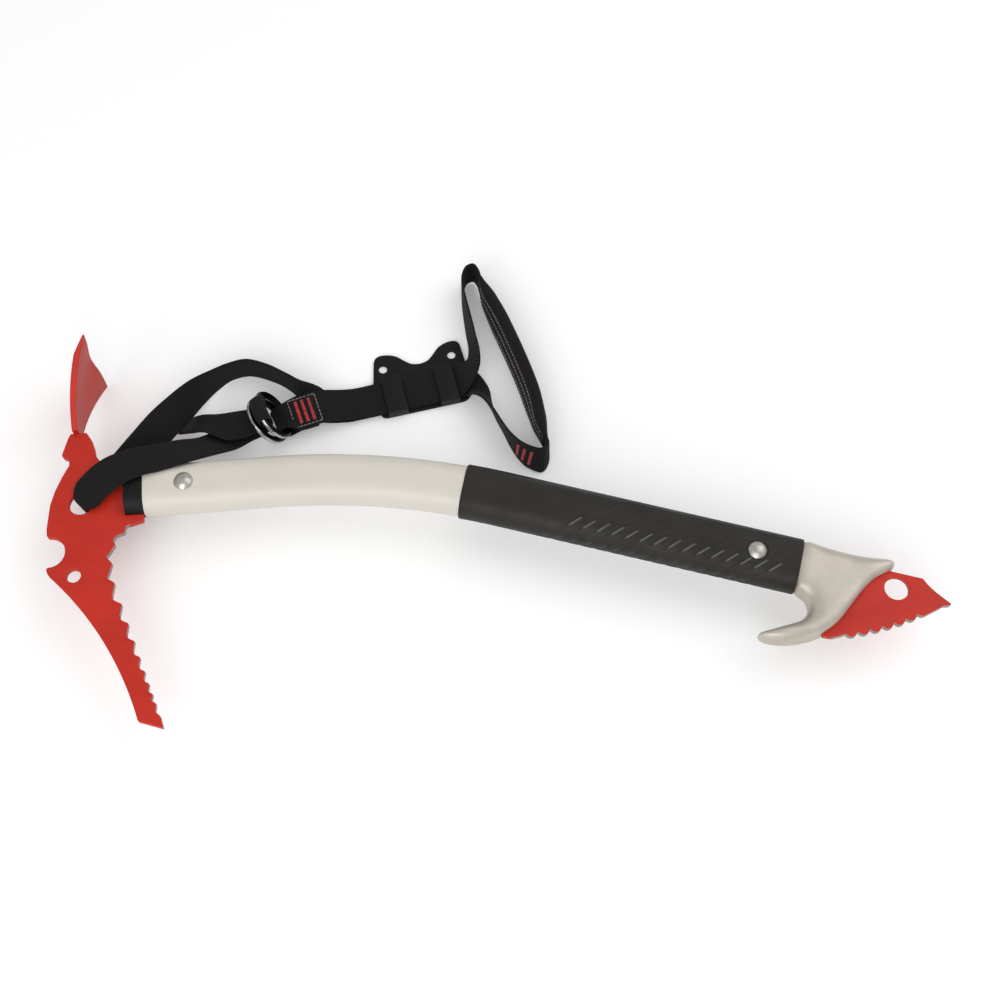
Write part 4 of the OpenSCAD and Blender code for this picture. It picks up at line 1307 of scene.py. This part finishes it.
class ICETOOL_OT_grip(bpy.types.Operator):
    """Mould the rubber grip with its slanted grooves and sunken panel"""
    bl_idname = "ice_tool.grip"
    bl_label = "Grip"

    def execute(self, context):
        sizes = context.scene.ice_tool_sizes
        length = sizes.grip_length / MM
        wall = sizes.grip_wall / MM
        rim, rim_drop = 1.2, 0.8
        round_count = 210
        fine_to, fine_step, fine_from = 132, 0.4, 1.6
        plain_parts = 28
        inner_parts = 60
        gap = 0.1
        rounding = [0, 0.1, 0.3, 0.6, 0.9]
        fine_count = int((fine_to - fine_from) / fine_step)
        steps = rounding + [rim] + [fine_from + fine_step * i for i in range(fine_count)]
        steps += [fine_to + (length - rim - fine_to) * i / plain_parts for i in range(plain_parts + 1)]
        steps += [length - r for r in reversed(rounding)]
        rows, painted_glint = [], []
        for ahead in steps:
            place, _, up = shaft_axis(TUBE_END - ahead)
            end = min(ahead, length - ahead)
            row = []
            for k in range(round_count):
                high, deep, out_high, out_deep = oval_point(k / round_count, wall)
                change, wear_and_glint = self.relief(sizes, ahead, high)
                painted_glint.append(wear_and_glint)
                if end < rim:
                    change -= rim_drop * (1 - math.sqrt(1 - ((rim - end) / rim) ** 2))
                high += out_high * change
                deep += out_deep * change
                row.append(place + up * high + Vector((0, 0, deep)))
            rows.append(row)
        for i in range(inner_parts + 1):
            rows.append(oval_row(TUBE_END - length * (1 - i / inner_parts), gap, round_count))
        grip = grid_piece("grip", rows, closed_rows=True)
        # The grip's points carry the strength of the painted highlight
        mark = grip.data.attributes.new("painted_glint", "FLOAT", "POINT")
        for index, wear_and_glint in enumerate(painted_glint):
            mark.data[index].value = wear_and_glint
        smooth(grip, SOFT_CREASE)
        dress(grip, grip_rubber(), "tool", "grip_rubber", "grip_sleeve")
        return {"FINISHED"}

    def way_round(self, high, radius):
        """Distance round the section from the bottom of the grip, by the height."""
        quarter = math.pi / 2
        if high < -OVAL_FLAT / 2:
            return radius * (quarter - math.asin(min(1, (-high - OVAL_FLAT / 2) / radius)))
        if high < OVAL_FLAT / 2:
            return radius * quarter + high + OVAL_FLAT / 2
        return radius * (quarter + math.asin(min(1, (high - OVAL_FLAT / 2) / radius))) + OVAL_FLAT

    def relief(self, sizes, ahead, high):
        """Height of the rubber over its plain surface, and how far it is rubbed pale."""
        pitch = sizes.groove_pitch / MM
        depth = sizes.groove_depth / MM
        radius = OVAL_RADIUS + sizes.grip_wall / MM
        way = self.way_round(high, radius)
        change, wear_and_glint = 0, 0
        # The grooves climb the side at a slant and bend forward over the panel
        first_groove, last_index = 10, 14
        dashes_at, bend_from, bend = 18.8, 21, 0.055
        line = ahead - first_groove + (way - dashes_at) + bend * max(0, way - bend_from) ** 2
        index = round(line / pitch)
        if 0 <= index <= last_index:
            apart = line - index * pitch
            # They are wide and deep at the bottom, deep again beside the crests and faint elsewhere
            lower_side = step_up(way, 4, 8)
            shape = 1.35 - 0.95 * lower_side + 0.5 * step_up(way, 10, 12) - 0.55 * step_up(way, 17, 20)
            groove = math.exp(-(apart / (1.15 - 0.5 * lower_side)) ** 2)
            along_crest = step_up(way, 11, 12.5) * (1 - step_up(way, 16.5, 18))
            crest = along_crest * math.exp(-((apart + 1.1) / 0.55) ** 2)
            change += (0.6 * crest - groove * shape) * depth
            # A pale highlight is painted on the crests, and faintly in the grooves at the bottom
            wear_and_glint = crest + 0.2 * groove * (1 - step_up(way, 2, 4))
        # The panel's edge lies under the top of the grip and curls down at its front
        panel_front, panel_depth = 118, 0.28
        edge_way = 33.5 - 0.09 * max(0, ahead - 98) ** 2 + 0.02 * max(0, 20 - ahead)
        inside = step_up(edge_way - way, -0.5, 0.5) * step_up(panel_front - ahead, 0, 4)
        change -= panel_depth * inside * step_up(way, 20, 24)
        # The rivet's head sits on the tube, in a round hole in the rubber
        rivet_ahead, hole_floor, hole_radius = 24.5, 5.6, 6.1
        seat = math.hypot(ahead - rivet_ahead, high)
        if seat < hole_radius:
            sunk = radius - OVAL_RADIUS - 0.1 + change
            change -= sunk * (1 - step_up(seat, hole_floor, hole_radius))
            wear_and_glint = 0
        return change, wear_and_glint


class ICETOOL_OT_rivets(bpy.types.Operator):
    """Set the two domed rivets"""
    bl_idname = "ice_tool.rivets"
    bl_label = "Rivets"

    def execute(self, context):
        steel = rivet_steel()
        for node, name in (("head_rivet", "front_rivet"), ("rear_rivet", "back_rivet")):
            piece = cad_copy(node, name)
            bevel(piece, context.scene.ice_tool_sizes.rivet_bevel, segments=3, angle=40)
            smooth(piece)
            dress(piece, steel, "tool", "rivet_steel", node)
        return {"FINISHED"}


class ICETOOL_OT_casting(bpy.types.Operator):
    """Sculpt the cast finger rest"""
    bl_idname = "ice_tool.casting"
    bl_label = "Casting"

    RIM = [(50.8, 9.4), (47.5, 5.8), (42, 1), (36.5, -8), (32, -18), (28, -27), (24, -33), (19.3, -37.3)]
    SLOT_HALF = 2.25
    SLOT_WALL = 3.4

    def execute(self, context):
        piece = cad_copy("pommel", "finger_rest")
        activate(piece)
        piece.data.remesh_voxel_size = context.scene.ice_tool_sizes.casting_voxel
        bpy.ops.object.voxel_remesh()
        flank, full_flank = 3, 8
        for vertex in piece.data.vertices:
            x, y, z = seen_from(TUBE_END, vertex.co)
            if abs(z) > flank and x > -0.2:
                sunk = self.hollow(x, y) * step_up(abs(z), flank, full_flank)
                vertex.co.z -= math.copysign(sunk, z) * MM
        # The hook runs to a slimmer, longer tip
        hook_top, hook_axis = -30, -44.2
        _, along, up = shaft_axis(TUBE_END)
        for vertex in piece.data.vertices:
            x, y, z = seen_from(TUBE_END, vertex.co)
            slim = 0.3 * step_up(-x, 2, 14) if y < hook_top else 0
            longer = 2.2 * step_up(-x, -2, 13) if y < hook_top else 0
            vertex.co -= (up * (y - hook_axis) * slim + along * longer + up * longer * 0.6) * MM
            vertex.co.z -= z * slim * MM
            by_rim = abs(z) < self.SLOT_WALL and self.from_rim(x, y) < 5
            vertex.select = x > 0.4 and not (abs(z) < self.SLOT_HALF or by_rim)
        bpy.ops.object.mode_set(mode="EDIT")
        bpy.ops.mesh.select_mode(type="VERT")
        bpy.ops.mesh.vertices_smooth(factor=0.5, repeat=60)
        bpy.ops.object.mode_set(mode="OBJECT")
        # The neck between the grip's corner and the finger gap is smoothed further
        neck_x, neck_y, neck_radius = 5, -14, 11
        for vertex in piece.data.vertices:
            x, y, z = seen_from(TUBE_END, vertex.co)
            in_neck = math.hypot(x - neck_x, y - neck_y) < neck_radius
            vertex.select = vertex.select and abs(z) > self.SLOT_WALL and in_neck
        bpy.ops.object.mode_set(mode="EDIT")
        bpy.ops.mesh.vertices_smooth(factor=0.5, repeat=150)
        bpy.ops.object.mode_set(mode="OBJECT")
        smooth(piece, SOFT_CREASE)
        dress(piece, cast_alloy(), "tool", "cast_alloy", "pommel")
        return {"FINISHED"}

    def from_rim(self, x, y):
        """Distance in the plan from the rim that holds the spike."""
        here = Vector((x, y))
        best = 1e9
        for a, b in zip(self.RIM, self.RIM[1:]):
            start, line = Vector(a), Vector(b) - Vector(a)
            t = min(max((here - start).dot(line) / line.length_squared, 0), 1)
            best = min(best, (here - start - line * t).length)
        return best

    def hollow(self, x, y):
        """Depth of the casting's hollow face and of the scoop round the finger."""
        face_depth, scoop_depth, scoop_radius = 1.6, 1.2, 9
        face = face_depth * math.exp(-((x - 22) / 13) ** 2 - ((y + 6) / 16) ** 2)
        face *= step_up(self.from_rim(x, y), 3, 9) * step_up(x, 2, 14)
        gap = math.hypot(x - 1, y + 25)
        scoop = scoop_depth * math.exp(-((gap - scoop_radius) / 6) ** 2)
        return face + scoop * step_up(x, -2, 6)


class ICETOOL_OT_spike(bpy.types.Operator):
    """Finish the toothed spike plate"""
    bl_idname = "ice_tool.spike"
    bl_label = "Spike"

    def execute(self, context):
        spike = flat_plate("spike_plate", "spike", self.wear, context.scene.ice_tool_sizes.plate_bevel)
        dress(spike, red_enamel(), "tool", "red_paint", "spike_plate")
        row_from, row_top = 24, -1.9
        bare_edges(spike, TUBE_END, lambda x, y: x > row_from and y < row_top)
        return {"FINISHED"}

    def wear(self, place, juts):
        """Rounding of the plate's corners: the teeth and the point are sharp and the gullets round."""
        return (0.5, 0) if juts else (1.4, 2.2)


class ICETOOL_PT_panel(bpy.types.Panel):
    """Lists the sizes, the finishes and the steps"""
    bl_idname = "ICETOOL_PT_panel"
    bl_label = "Ice Tool"
    bl_space_type = "VIEW_3D"
    bl_region_type = "UI"
    bl_category = "Ice Tool"

    def draw(self, context):
        scene = context.scene
        for group in (scene.ice_tool_sizes, scene.ice_tool_leash, scene.ice_tool_finishes):
            column = self.layout.column(align=True)
            for name in group.bl_rna.properties.keys():
                if name not in {"rna_type", "name"}:
                    column.prop(group, name)
        for step in STEPS:
            self.layout.operator(step.bl_idname)


STEPS = (
    ICETOOL_OT_stage, ICETOOL_OT_webbing, ICETOOL_OT_wrist_pad, ICETOOL_OT_stitching, ICETOOL_OT_rings,
    ICETOOL_OT_strap_lock, ICETOOL_OT_head, ICETOOL_OT_shaft, ICETOOL_OT_grip, ICETOOL_OT_rivets,
    ICETOOL_OT_casting, ICETOOL_OT_spike,
)
CLASSES = (ToolSizes, LeashSizes, Finishes) + STEPS + (ICETOOL_PT_panel,)


def register():
    for cls in CLASSES:
        bpy.utils.register_class(cls)
    bpy.types.Scene.ice_tool_sizes = bpy.props.PointerProperty(type=ToolSizes)
    bpy.types.Scene.ice_tool_leash = bpy.props.PointerProperty(type=LeashSizes)
    bpy.types.Scene.ice_tool_finishes = bpy.props.PointerProperty(type=Finishes)


def unregister():
    del bpy.types.Scene.ice_tool_sizes
    del bpy.types.Scene.ice_tool_leash
    del bpy.types.Scene.ice_tool_finishes
    for cls in reversed(CLASSES):
        bpy.utils.unregister_class(cls)


def main():
    register()
    bpy.ops.ice_tool.stage()
    bpy.ops.ice_tool.webbing()
    bpy.ops.ice_tool.wrist_pad()
    bpy.ops.ice_tool.stitching()
    bpy.ops.ice_tool.rings()
    bpy.ops.ice_tool.strap_lock()
    bpy.ops.ice_tool.head()
    bpy.ops.ice_tool.shaft()
    bpy.ops.ice_tool.grip()
    bpy.ops.ice_tool.rivets()
    bpy.ops.ice_tool.casting()
    bpy.ops.ice_tool.spike()


if __name__ == "__main__":
    main()
